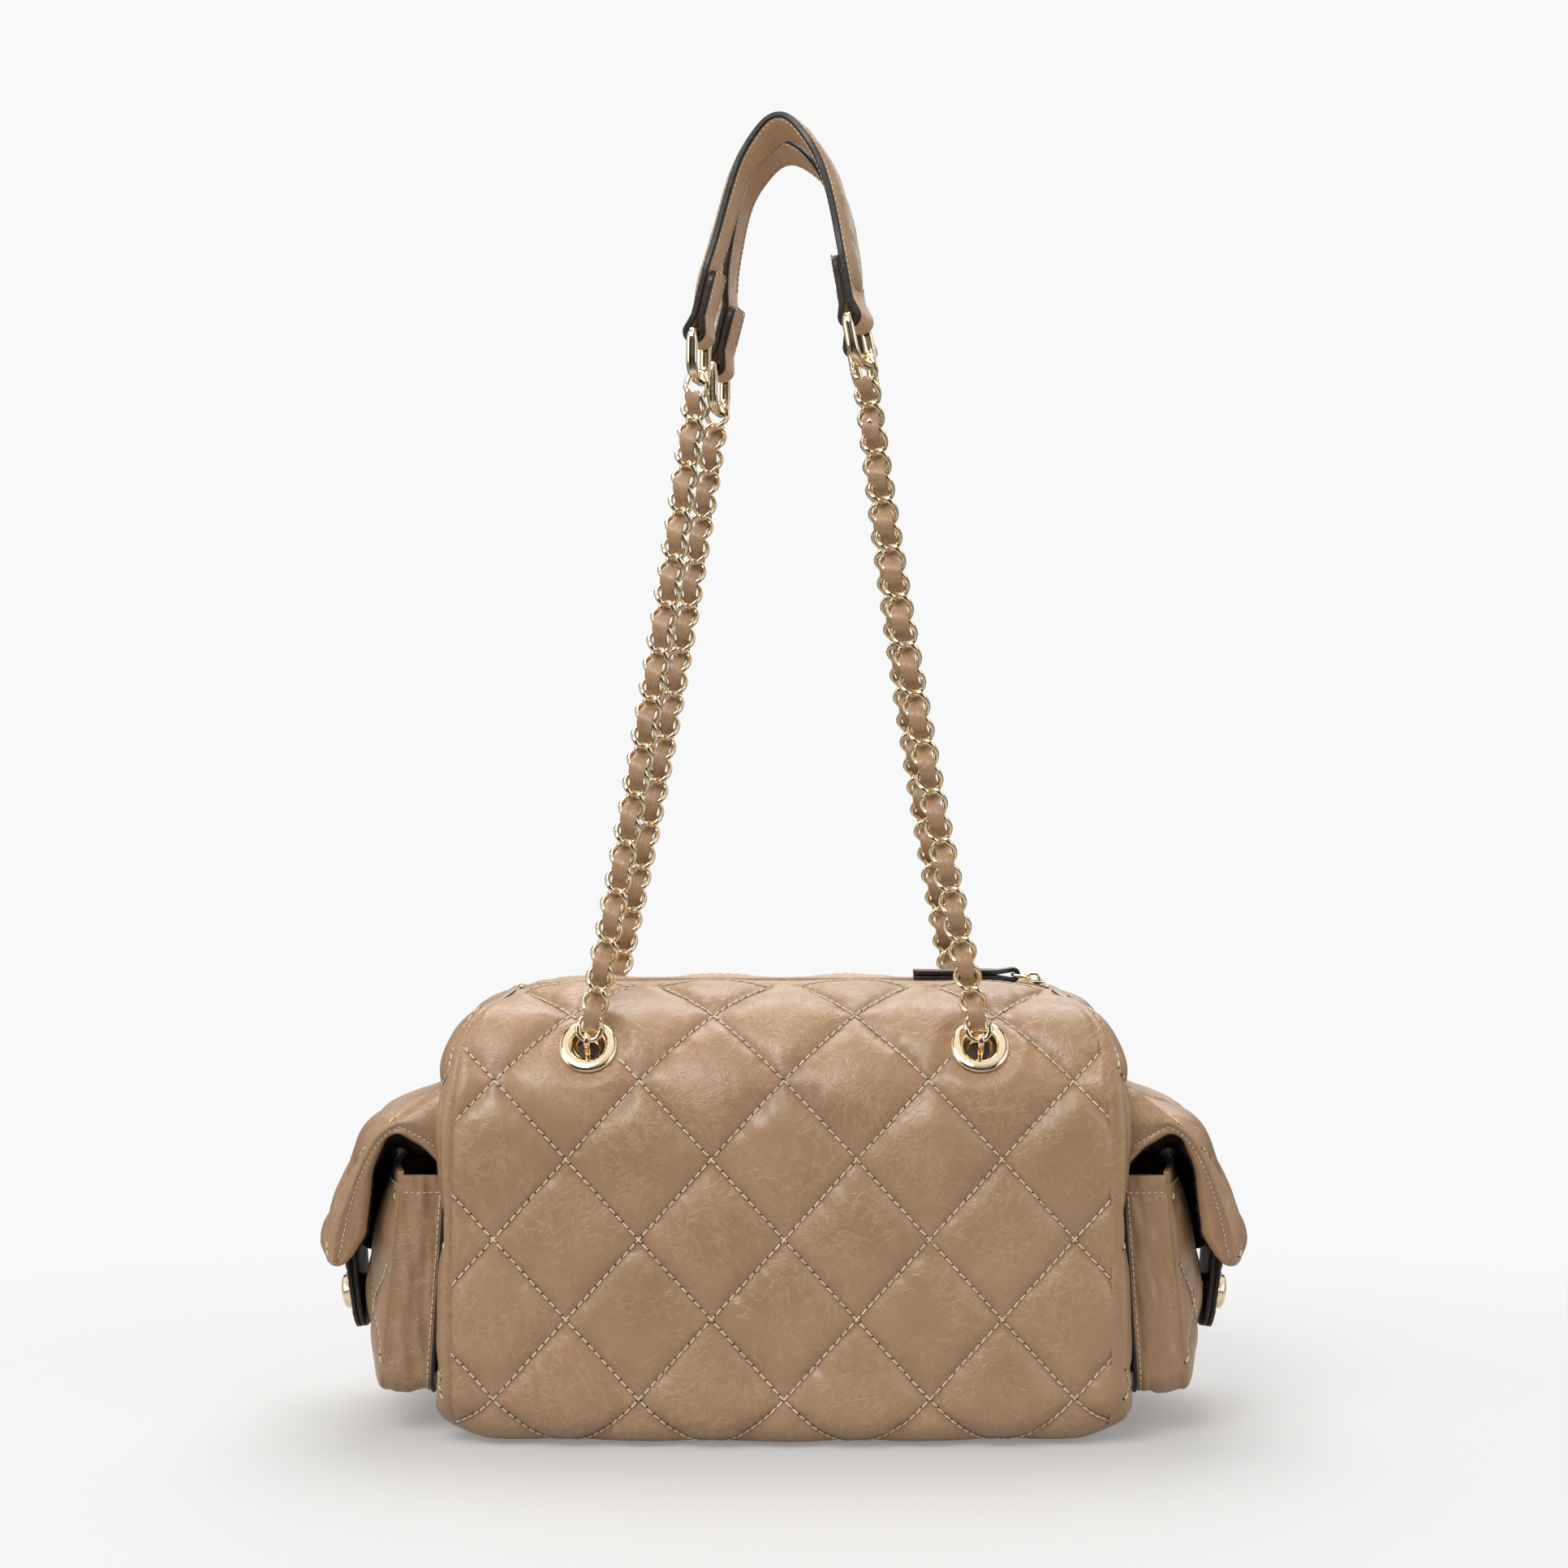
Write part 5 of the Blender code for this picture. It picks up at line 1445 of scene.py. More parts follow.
def strap_route(handle):
    """The strap's line: inner fold, round the left ring, over the arch, round the right ring, inner fold."""
    (left, left_bar), (right, right_bar) = handle_ring(f"{handle}_left"), handle_ring(f"{handle}_right")
    span = right - left
    outward = unit(np.array([span[0], span[1], 0]))
    ends = []
    for centre, lean, out in ((left, STRAP_LEANS["left"], -outward), (right, STRAP_LEANS["right"], outward)):
        up = unit(np.array([0, 0, cos(lean)]) - out * sin(lean))
        across = unit(out * cos(lean) + np.array([0, 0, sin(lean)]))
        turns = np.linspace(-pi, 0, 15)
        bend, rest = 3.2, 1.45
        around = centre + across * (bend * np.cos(turns))[:, None] + up * (bend * np.sin(turns))[:, None]
        rise = np.linspace(STRAP_FOLD, 5.5, 9)[:, None]
        inside_leg = centre - across * rest + up * rise
        outside_leg = centre + across * rest + up * rise[::-1]
        ends.append((inside_leg, around, outside_leg))
    middle = (left + right) / 2
    share, rise = np.array(ARCHES[handle]).T
    arch = middle + span * share[:, None] / 2
    arch[:, 2] += (middle[2] + ARCH_RISE - arch[:, 2]) * rise
    arch[:, 1] -= SIGNS[handle] * 3 * rise
    crown = curve(np.vstack([ends[0][2][-1], arch, ends[1][2][-1]]), 90)
    for _ in range(20):
        crown[1:-1] = (crown[:-2] + 2 * crown[1:-1] + crown[2:]) / 4
    start = np.vstack([ends[0][0], ends[0][1], ends[0][2][:-1]])
    path = np.vstack([start, crown, ends[1][2][::-1][1:], ends[1][1][::-1], ends[1][0][::-1]])
    reach = np.clip((path - left) @ span / (span @ span), 0, 1)[:, None]
    width = unit(left_bar * (1 - reach) + right_bar * reach)
    width[:, 2] -= 0.42 * np.sign(width[:, 1]) * smooth((path[:, 2] - path[:, 2].max() + 24) / 24)
    return path, width, len(start), len(crown)


def strap(handle):
    """The band with its painted edges, the padded outer layer and their stitching."""
    path, width, start, count = strap_route(handle)
    body = f"{handle}_handle"
    length = run_of(path)
    tip = np.minimum(length, length[-1] - length)
    half = 7.5 - 2.6 * (1 - dome(tip / 3.4)) - 0.5 * np.exp(-((tip - 26) / 4.5) ** 2)
    band = strap_band(f"{handle}_strap_band", path, width, half, 2.5, ("strap_leather_painted_light", "edge"), 0.18)
    settle(band, body, f"{handle}_strap")

    crown = path[start - 7 : start + count + 7]
    direction = along(crown)
    across = square_to(width[start - 7 : start + count + 7], direction)
    out = facing(np.cross(direction, across), crown - crown.mean(0))
    share = np.linspace(0, 1, len(crown) - 2)
    ends = dome(np.minimum(share, 1 - share) / 0.035)[:, None]
    circle = ring_of(1.0, 36)
    flat, height = powered(circle[:, 0], 0.7), np.abs(circle[:, 1])
    high = np.where(circle[:, 1] > 0, 1.75 * height**0.9, -0.35 * height)
    ripple = 1 + 0.09 * noise(share[:, None] * 42, flat[None] * 1.2, 77)
    shape = np.stack([5.75 * (0.6 + 0.4 * ends) * flat, (0.3 + 0.7 * ends) * high * ripple], axis=-1)
    side_way = across if np.sum(np.cross(direction, across) * out) > 0 else -across
    middle = (crown + out * 1.3)[1:-1]
    pad = sweep(f"{handle}_shoulder_pad", middle, shape, width=side_way[1:-1])
    finish(pad, "leather")
    settle(pad, body, f"{handle}_strap_pad")
    for side, label in ((-1, "inner"), (1, "outer")):
        seam = crown + across * side * 6.05 + out * 1.30
        settle(sew_path(f"{handle}_strap_{label}_stitches", seam[1:-1], out[1:-1], 0.05, 0.62), body)
        seam, under = (crown + across * side * 5.7 - out * 1.33)[11:-11], -out[11:-11]
        settle(sew_path(f"{handle}_strap_{label}_under_stitches", seam, under, 0.05, 0.6), body)
    for label, rows in (("left", slice(0, 7)), ("right", slice(len(path) - 7, len(path)))):
        line, side_way = path[rows], width[rows] * 5.6
        inward = (crown[count // 2] - line.mean(0)) * np.array([1, 1, 0])
        up = facing(np.cross(along(line), width[rows]), inward).mean(0)
        loop = [line + side_way, line[::-1] - side_way]
        if label == "left":
            loop = [(line + side_way)[::-1], line - side_way]
        seam = resample(np.vstack(loop), 40) + unit(up) * 1.35
        settle(sew_path(f"{handle}_strap_{label}_fold_stitches", seam, up, 0.05, 0.62), body)


# Pockets, made on the left end and turned for the right


def seam_face(z):
    """How far out the seam between a pocket's gusset and front stands: more towards its foot."""
    return PLATEAU + 11.5 + 9 * np.maximum(1 - z / POCKET_TOP, 0)


def plate_root(z):
    """How far out the pocket's back plate stands: it leans out towards its foot and sinks in above."""
    return 117.4 + 5.0 * (1 - z / 71.5)


def pocket_width(z):
    """Half width of the pocket's front, rounded at its foot."""
    rise = np.clip(POCKET_FOOT + POCKET_CORNER - z, 0, POCKET_CORNER)
    return POCKET_HALF - POCKET_CORNER + np.sqrt(POCKET_CORNER**2 - rise**2)


def pocket_border(y, z):
    """Distance inwards from the sides and rounded foot of the pocket's front."""
    inner_y, inner_z = POCKET_HALF - POCKET_CORNER, POCKET_FOOT + POCKET_CORNER
    corner = POCKET_CORNER - np.hypot(np.maximum(np.abs(y) - inner_y, 0), np.minimum(z - inner_z, 0))
    straight = np.minimum(POCKET_HALF - np.abs(y), z - POCKET_FOOT)
    return np.where((np.abs(y) > inner_y) & (z < inner_z), corner, straight)


def front_face(y, z):
    """How far out a pocket's front stands: a parabola across, with its belly below the middle."""
    share = (z - POCKET_FOOT) / (POCKET_TOP - POCKET_FOOT)
    low = 1 - (1 - share / BELLY) ** 2
    high = 1 - 0.5 * ((share - BELLY) / (1 - BELLY)) ** 2
    side = 1 - np.clip(np.abs(y) / POCKET_HALF, 0, 1) ** 2
    return seam_face(z) + 2.3 + 12 * side * np.where(share < BELLY, low, high)


def pocket_outline(half, foot, top, corner, count):
    """A U line as (y, z): down one side, round the foot and up the other."""
    turns = np.linspace(pi, 3 * pi / 2, 12)
    left = np.stack([corner - half + corner * np.cos(turns), foot + corner + corner * np.sin(turns)], axis=1)
    right = left[::-1] * np.array([-1, 1])
    line = np.vstack([[[-half, top]], left, right, [[half, top]]])
    return resample(line, count)


# The binding's section as (out, inwards) from the back plate's outline
BINDING = ((0.0, 0.25), (0.3, 0.0), (0.65, -0.1), (1.0, 0.0), (1.25, 0.3), (1.3, 0.9), (1.3, 9.0), (0.0, 9.0))


def pocket_back(side):
    """A pocket's back plate: a painted binding round its edge and a black lining on its face."""
    turn = TURNS[side]
    line = pocket_outline(POCKET_HALF + 0.8, POCKET_FOOT - 1.0, 91, POCKET_CORNER + 0.8, 110)
    near = plate_root(line[:, 1])
    inwards = unit(np.stack([-np.gradient(line[:, 1]), np.gradient(line[:, 0])], axis=1))
    if inwards[55, 1] < 0:
        inwards = -inwards
    rim = []
    for out, inset in BINDING:
        spot = line + inwards * inset
        rim.append(points_of(-(near + out), spot[:, 0], spot[:, 1]))
    binding = loft(f"{side}_pocket_binding", turn(np.stack(rim, axis=1)))
    settle(finish(binding, "edge"), "bag", f"{side}_pocket_back")
    y, z = np.meshgrid(np.linspace(-37, 37, 40), np.linspace(19, 91, 40), indexing="ij")
    corner = np.clip((np.hypot(np.maximum(np.abs(y) - 26, 0), np.minimum(z - 30, 0)) - 11) / 2, 0, 1)
    z = z + np.where(z < 30, corner * 3.0, 0)
    face = points_of(-(plateau(z) + 1.6), y, z)
    grids = [face, face[:, ::-1] + np.array([1.2, 0, 0])]
    plate = loft(f"{side}_pocket_back_lining", turn(np.concatenate(grids, axis=1)))
    settle(finish(plate, "black"), "bag")


def pocket_gusset(side):
    """A plain wrinkled strip round the pocket's sides and foot, hemmed at its mouth."""
    turn = TURNS[side]
    seed = POCKET_SEEDS[side]
    rows, columns, length = 150, 34, 200
    line = pocket_outline(POCKET_HALF, POCKET_FOOT, 90.7, POCKET_CORNER, rows)
    y, z = line[:, :1], line[:, 1:]
    run = np.linspace(0, length, rows)[:, None] + np.zeros((rows, columns))
    v = np.linspace(0, 1, columns) + 0 * run
    near, far = plate_root(z) + 1.35, seam_face(z) + 0.7
    out = near + (far - near) * v
    skin = points_of(-out, y, z)
    up = facing(normals(skin), skin - np.array([-130, 0, 60.0]))
    folds = noise(run / 6, v * 2.2, seed) * 0.55 + noise(run / 2.6, v * 4, seed + 1) * 0.22
    folds = folds + noise(run / 11 + v * 5, v * 3 - run / 16, seed + 9) * 0.75
    folds = folds + crinkle(run, out, seed + 2) * 0.7
    edge = np.minimum(v, 1 - v)
    relief = folds * smooth(edge * 6 + 0.1) + 0.7 * np.sin(pi * v)
    mouth = np.minimum(run, length - run)
    relief = relief + 0.35 * (mouth < 4) - 0.4 * np.exp(-((mouth - 4.6) / 0.7) ** 2)
    outer = skin + up * relief[..., None]
    inner = (skin - up * 1.1)[:, ::-3]
    # Painted shade along the gusset's seams; the whole strip is also darkened a little
    near = np.maximum(np.exp(-edge * 14) * 0.7, 0.30)
    gusset = leather_shell(f"{side}_pocket_gusset_leather", turn, outer, inner, near)
    settle(gusset, "bag", f"{side}_pocket_gusset")
    outer, up = turn(outer), turn(up)
    for row, label in ((4, "front"), (rows - 5, "back")):
        name = f"{side}_gusset_{label}_hem_stitches"
        settle(sew_path(name, outer[row, 2:-2], up[row, 2:-2], 0.1, 0.6), "bag")
    settle(sew_path(f"{side}_gusset_root_stitches", outer[3:-3, 2], up[3:-3, 2], 0.1, 0.72), "bag")


def pocket_front(side):
    """The quilted front, which swells most below its middle, with a stitched hem along its mouth."""
    turn = TURNS[side]
    seed = POCKET_SEEDS[side]
    rows, columns, low = 96, 104, POCKET_FOOT + 0.1
    z = np.linspace(low, POCKET_TOP, rows)[:, None]
    y = pocket_width(z) * np.linspace(-1, 1, columns)
    z = z + 0 * y
    skin = points_of(-front_face(y, z), y, z)
    up = facing(normals(skin), LEFTWARDS)
    border = pocket_border(y, z)
    relief, near = quilt(y, z - CROSSING_HEIGHT, seed + 3)
    relief = (relief * 0.8 + crinkle(y, z, seed + 4) * 0.8) * smooth(border / 7 + 0.05)
    hem = POCKET_TOP - z
    relief = relief * smooth((hem - 3) / 4) - 0.5 * np.exp(-((hem - POCKET_HEM) / 0.8) ** 2)
    outer = skin + up * (relief - 1.6 * (1 - dome(border / 3.5)))[..., None]
    inner = (skin + np.array([2.2, 0, 0]))[:, ::-6]
    # Painted shade along the border seam and the stitched lines
    near = np.maximum(near * smooth(border / 5), np.exp(-border / 1.4) * 0.8)
    front = leather_shell(f"{side}_pocket_quilted_front", turn, outer, inner, near)
    settle(front, "bag", f"{side}_pocket_front")

    def where(a, b):
        """The front's rows and columns at places of the pattern."""
        height = b + CROSSING_HEIGHT
        across = (a / pocket_width(height) + 1) / 2
        return (height - low) / (POCKET_TOP - low) * (rows - 1), across * (columns - 1)

    outer, up = turn(outer), turn(up)
    lines = quilt_lines((-41, low - CROSSING_HEIGHT), (41, POCKET_TOP - 6 - CROSSING_HEIGHT))
    lines = lines[pocket_border(lines[:, 0], lines[:, 1] + CROSSING_HEIGHT) > 0.9]
    settle(sew_quilt(f"{side}_pocket_front_stitches", outer, up, lines, where), "bag")
    row = int((POCKET_TOP - POCKET_HEM - low) / (POCKET_TOP - low) * (rows - 1))
    settle(sew_path(f"{side}_pocket_hem_stitches", outer[row, 3:-3], up[row, 3:-3], 0.1, 0.7), "bag")


# Flaps


# Each flap's side as (out, down) lines from its root: skin, lip, underside, and the seam along the middle
FLAP_SKIN = (
    (-1.8, 0), (8.2, 6.1), (13.4, 9.0), (20.2, 13.4), (24.2, 18.4), (28, 27.1),
    (32.0, 36), (34.9, 42.6), (37.4, 49.2), (38.1, 55.7), (36.8, 60.3),
)
FLAP_LIP = ((35.3, 61.7), (32.8, 61.9), (30.3, 60.8))
FLAP_UNDER = (
    (27.6, 58), (23.6, 51.4), (22.9, 47), (21.8, 38.1), (20.7, 28.5), (17.8, 21.3),
    (16.0, 17.6), (12.3, 16.1), (9, 18.4), (4.6, 21.3), (1.2, 24.9), (-1.8, 28.7),
)
FLAP_SEAM = (
    (-1.8, 21.7), (2.0, 19.1), (6, 16.6), (10.4, 14.4), (12.7, 13.6), (17.1, 15.9),
    (20.7, 19.9), (24.4, 26.5), (27.3, 33.8), (30.6, 44.8), (32.8, 55), (34.1, 60.2),
)
FLAP_ROOT = (PLATEAU + 0.3, 121)
FLAP_CROSSING = 27.2
FLAP_HALF = 45.0
FLAP_ROLL = 6.5
FLAP_GROOVE = 1.5


def flap(side):
    """A pillowy flap. Skin and underside are carried along Y, and close as a quarter round on a seam along
    the middle of each side."""
    turn = TURNS[side]
    seed = FLAP_SEEDS[side]
    leaf = f"{side}_flap"
    rows, columns, under_columns = 124, 100, 54
    spread = np.linspace(-1, 1, rows)
    y = FLAP_HALF * np.sign(spread) * (0.30 * np.abs(spread) + 0.70 * np.sin(np.abs(spread) * pi / 2))
    skin_line, under_line = curve(FLAP_SKIN, columns), curve(FLAP_UNDER, under_columns)
    lip = curve([FLAP_SKIN[-1], *FLAP_LIP, FLAP_UNDER[0]], 16)[1:-1]
    side_share = 1 - (y / FLAP_HALF) ** 2
    share = 0.02 + 0.98 * dome((FLAP_HALF - np.abs(y)) / FLAP_ROLL)
    sunk = y - np.sign(y) * FLAP_GROOVE * np.exp(-(((share - 0.02) / 0.2) ** 2))

    def raised(line, seam):
        """A line of the flap's side carried along Y, drawn in to the seam at both ends."""
        spot = seam[None] + (line - seam)[None] * share[:, None, None]
        swell = 6.2 * side_share[:, None] * smooth(spot[..., 0] / 19)
        return points_of(-(FLAP_ROOT[0] + spot[..., 0] + swell), sunk[:, None], FLAP_ROOT[1] - spot[..., 1])

    outer = raised(skin_line, curve(FLAP_SEAM, columns))
    under = raised(under_line, curve(FLAP_SEAM, under_columns)[::-1])
    end = raised(lip, np.broadcast_to(FLAP_SEAM[-1], lip.shape))
    up = facing(normals(outer), np.array([-1.0, 0, 0.6]))
    arc = run_of(skin_line)
    a = y[:, None] + 0 * arc[None]
    b = arc[None] + 0 * a
    relief, near = quilt(a, b - FLAP_CROSSING, seed)
    edge = FLAP_HALF - np.abs(a)
    calm = smooth(edge / 7) * smooth((arc[-1] - b) / 7 + 0.1) * smooth(b / 5)
    relief = (relief * 0.9 - 0.3 + crinkle(a, b, seed + 1) * 0.8) * calm
    relief = relief + noise(b / 3.1, a / 5, seed + 2) * 0.22 * np.exp(-((edge / 5) ** 2)) * smooth(edge / 2)
    outer = outer + up * (relief * smooth(b / 3))[..., None]
    seam_shade = np.exp(-(((FLAP_HALF - np.abs(y)) / 0.7) ** 2))[:, None]
    near = np.maximum(near * calm, seam_shade)
    inner = np.concatenate([end, under], axis=1)
    body = leather_shell(f"{side}_flap_quilted", turn, outer, inner, near, seam_shade)
    settle(body, leaf, f"{side}_pocket_flap")

    def where(p, q):
        """The flap's rows and columns at places of the pattern."""
        return np.interp(p, y, np.arange(rows)), np.interp(q + FLAP_CROSSING, arc, np.arange(columns))

    lines = quilt_lines((-43.5, 2 - FLAP_CROSSING), (43.5, arc[-1] - 1 - FLAP_CROSSING))
    settle(sew_quilt(f"{side}_flap_stitches", turn(outer), turn(up), lines, where), leaf)
    seam = curve(FLAP_SEAM, 60)[2:-1]
    for face in ("front", "back"):
        aside = SIGNS[face] * (FLAP_HALF - FLAP_GROOVE)
        line = turn(points_of(-(FLAP_ROOT[0] + seam[:, 0]), aside, FLAP_ROOT[1] - seam[:, 1]))
        way = turn(np.array([0, SIGNS[face], 0.0]))
        settle(sew_path(f"{side}_flap_{face}_edge_stitches", line, way, 0.12, 0.56), leaf)
    flap_lining(side, under[np.abs(y) < 39.5], under_line[None, :, 0], seed)


def flap_lining(side, inside_skin, out, seed):
    """A glossy black skin below the padding, pleated along its seams and sagging over the pocket's mouth.

    inside_skin is the padding's underside, out the distance of its columns from the flap's root."""
    down = facing(normals(inside_skin), np.array([1.0, 0, -0.8]))
    wide = inside_skin[..., 1]
    run = np.linspace(0, 78, inside_skin.shape[1])[None] + 0 * wide
    side_edge = 40.5 - np.abs(wide)
    pleat = 0.36 * np.sin(run * 1.35 + noise(run / 5, wide / 9, seed + 5) * 2.5) * np.exp(-side_edge / 9)
    pleat = pleat + noise(run / 5, wide / 7, seed + 6) * 0.5
    face = inside_skin + down * (0.55 + pleat * 0.8)[..., None]
    sag = 8.2 * smooth((23 - out) / 8) * smooth(out / 7) * (1 - (wide / 40.5) ** 2) ** 0.7
    face[..., 2] -= sag * (1 + 0.08 * np.sin(wide * 1.1 + noise(run / 6, wide / 6, seed + 7) * 2))
    reach = front_face(0, np.clip(face[..., 2], 45, POCKET_TOP)) + 0.9 + 6 * (wide / 32) ** 2
    face[..., 0] = -np.minimum(-face[..., 0], reach)
    face[..., 2] -= 4.5 * smooth((out - 22) / 5) * np.clip(1 - (wide / 17) ** 2, 0, 1)
    back = (inside_skin + down * -0.4)[:, ::-2]
    lining = loft(f"{side}_flap_lining", TURNS[side](np.concatenate([face, back], axis=1)))
    settle(finish(lining, "black"), f"{side}_flap")


# Closures


# The closure tab's place, lean and length, and the turned profiles of its cap and socket
TAB_PLACE = (-157.486, 57.2)
TAB_LEAN = radians(8)
TAB_LENGTH = 27
CAP_DOWN = 14.5
CAP_HEAD = (
    (0.01, 4.15), (3.2, 4.1), (5.0, 3.9), (5.9, 3.45), (6.3, 2.7), (6.4, 1.5), (6.85, 1.1),
    (6.9, 0.5), (6.8, 0.0), (0.01, 0.0),
)
SOCKET_RING = (
    (0.01, 1.0), (3.0, 1.0), (3.3, 0.5), (4.6, 0.5), (5.0, 1.2), (5.7, 1.1), (6.0, 0.6), (6.0, 0.0),
    (0.01, 0.0),
)


def tab_point(a, down, out):
    """A point of the closure tab: across it, down it and out of its face."""
    x = TAB_PLACE[0] + down * sin(TAB_LEAN) - out * cos(TAB_LEAN)
    z = TAB_PLACE[1] - down * cos(TAB_LEAN) - out * sin(TAB_LEAN)
    return points_of(x, a, z)


def tab_layer(side, label, start, low, high, lean, face_kind):
    """One of a closure tab's leather layers: a band with a rounded tip, leaning in at its upper end."""
    turn = TURNS[side]
    down = np.linspace(start, TAB_LENGTH, 54)
    half = 11.4 * (0.42 + 0.58 * dome((TAB_LENGTH - down) / 7))
    level = (low + high) / 2 - lean * np.exp(-(((down - start) / 9) ** 2))
    path, width = turn(tab_point(0.0, down, level)), turn(np.tile([0, 1.0, 0], (54, 1)))
    return strap_band(f"{side}_tab_{label}_layer", path, width, half, high - low, (face_kind, "edge"), 0.06)


def closure(side):
    """Two leather layers with painted edges, the domed gold cap, and the socket on the pocket's front."""
    turn, body = TURNS[side], f"{side}_tab"
    settle(tab_layer(side, "outer", 0.3, -1.65, 0.0, 0.0, "flat_leather"), body, f"{side}_closure_tab")
    settle(tab_layer(side, "inner", -2.0, -3.6, -1.85, 0.8, "black"), body)
    turns = np.linspace(0, pi, 18)
    down = np.concatenate([np.linspace(2, 19, 12), 19 + 6.2 * np.sin(turns), np.linspace(19, 2, 12)])
    across = np.concatenate([np.full(12, 9.7), 9.7 * np.cos(turns), np.full(12, -9.7)])
    seam = tab_point(across, down, 0.12)
    out = turn(np.array([-cos(TAB_LEAN), 0, -sin(TAB_LEAN)]))
    settle(sew_path(f"{side}_tab_stitches", turn(seam), out), body)

    width = turn(np.array([0, 1.0, 0]))
    place = stand(width, out, turn(tab_point(0.0, CAP_DOWN, 0.1)))
    cap = turned(f"{side}_domed_cap", CAP_HEAD, place, 64)
    settle(finish(cap, "gold"), body, f"{side}_tab_cap")
    place = stand(width, out, turn(tab_point(0.0, CAP_DOWN, -5.1)))
    socket = turned(f"{side}_magnet_socket", SOCKET_RING, place, 48)
    settle(finish(socket, "gold"), "bag", f"{side}_snap_socket")


# The stage


def camera():
    """The photograph's camera: its focal length and the rise of its middle are in pixels of the picture."""
    data = bpy.data.cameras.new("camera")
    obj = linked("camera", data)
    obj.location = (0, -0.850, 0.2135)
    obj.rotation_euler = (radians(90), 0, 0)
    data.sensor_width = 36
    data.lens = FOCAL_PIXELS / PICTURE_SIDE * 36
    data.shift_y = (MIDDLE_ROW - PICTURE_SIDE / 2) / PICTURE_SIDE
    data.clip_start = 0.05
    bpy.context.scene.camera = obj


def soft_box(name, place, target, size, power):
    """A rectangular lamp that faces a target."""
    data = bpy.data.lights.new(name, "AREA")
    data.shape = "RECTANGLE"
    data.size, data.size_y = size
    data.energy = power
    obj = linked(name, data)
    obj.location = place
    obj.rotation_euler = (Vector(target) - Vector(place)).to_track_quat("-Z", "Y").to_euler()


def backdrop():
    """White to the camera and even on the object; in reflections darker low down, with dark strips aside."""
    world = bpy.data.worlds.new("studio")
    bpy.context.scene.world = world
    world.use_nodes = True
    tree = world.node_tree
    tree.nodes.clear()
    path = node(tree, "ShaderNodeLightPath").outputs
    direction = node(tree, "ShaderNodeTexCoord").outputs["Generated"]
    parts = node(tree, "ShaderNodeSeparateXYZ", {0: direction}).outputs
    level = ramp(tree, parts["Z"], -0.1, 0.75, 0.25, 1.0)
    level = maths(tree, "MULTIPLY", level, ramp(tree, parts["Y"], -0.97, -0.45, 0.16, 1.0))
    strip = maths(tree, "COMPARE", maths(tree, "ABSOLUTE", parts["X"]), 0.52, 0.09)
    level = maths(tree, "MULTIPLY", level, ramp(tree, strip, 0.0, 1.0, 1.0, 0.06))
    warm, white = (1.0, 0.985, 0.96, 1), (0.94, 0.94, 0.94, 1)
    mirrored, even, shown = (
        node(tree, "ShaderNodeBackground", {"Color": colour, "Strength": strength}).outputs[0]
        for colour, strength in ((warm, level), (warm, 0.55), (white, 1.0))
    )
    lit = node(tree, "ShaderNodeMixShader", {0: path["Is Glossy Ray"], 1: even, 2: mirrored}).outputs[0]
    mixed = node(tree, "ShaderNodeMixShader", {0: path["Is Camera Ray"], 1: lit, 2: shown}).outputs[0]
    node(tree, "ShaderNodeOutputWorld", {0: mixed})


def pale_ground():
    """A pale floor that fades into the white world with the distance from the bag."""
    circle = ring_of(1.0, 72)
    rings = [points_of(*(circle * radius).T, -0.6) for radius in (1, 200, 500, 1500)]
    floor = make("floor", np.vstack(rings), wrapped(4, 72, False), [np.arange(72)[::-1]])
    material = bpy.data.materials.new("pale_floor")
    tree, shader = nodes_of(material)
    wire(tree, shader, {"Base Color": (0.62, 0.615, 0.61, 1), "Roughness": 0.8, "Specular IOR Level": 0.1})
    inputs = {"Vector": object_place(tree), "Scale": (1.0, 1.5, 1.0)}
    place = node(tree, "ShaderNodeMapping", inputs).outputs[0]
    away = node(tree, "ShaderNodeVectorMath", {0: place}, operation="LENGTH").outputs["Value"]
    fade = {0: away, 1: 0.16, 2: 0.62, 3: 0.22}
    clear = node(tree, "ShaderNodeMapRange", fade, interpolation_type="SMOOTHERSTEP").outputs[0]
    empty = node(tree, "ShaderNodeBsdfTransparent").outputs[0]
    faded = node(tree, "ShaderNodeMixShader", {0: clear, 1: shader.outputs[0], 2: empty})
    output = next(item for item in tree.nodes if item.type == "OUTPUT_MATERIAL")
    tree.links.new(faded.outputs[0], output.inputs[0])
    floor.data.materials.append(material)


def studio():
    """The view, the world, the floor and five soft boxes."""
    bpy.context.scene.view_settings.view_transform = "Standard"
    backdrop()
    pale_ground()
    soft_box("key", (-0.55, -1.15, 1.30), (0, 0, 0.10), (1.0, 0.8), 16)
    soft_box("fill", (1.3, -0.9, 0.6), (0, 0, 0.12), (0.8, 1.2), 4)
    soft_box("side", (-1.3, -0.7, 0.5), (0, 0, 0.12), (0.6, 0.9), 2.5)
    soft_box("top", (0.0, 0.42, 1.35), (0, 0, 0.1), (1.2, 0.7), 12)
    soft_box("back", (0.3, 1.4, 1.0), (0, 0, 0.15), (1.2, 0.9), 4)


# One operator for each piece or group of like pieces


class BAG_OT_camera(bpy.types.Operator):
    """Places the camera at the photograph's angle"""

    bl_idname = "bag.camera"
    bl_label = "Camera"
    bl_options = {"REGISTER", "UNDO"}

    def execute(self, context):
        camera()
        return {"FINISHED"}


class BAG_OT_long_panels(bpy.types.Operator):
    """Makes the quilted front and back"""

    bl_idname = "bag.long_panels"
    bl_label = "Long panels"
    bl_options = {"REGISTER", "UNDO"}

    def execute(self, context):
        for face in FACES:
            long_panel(face)
        return {"FINISHED"}


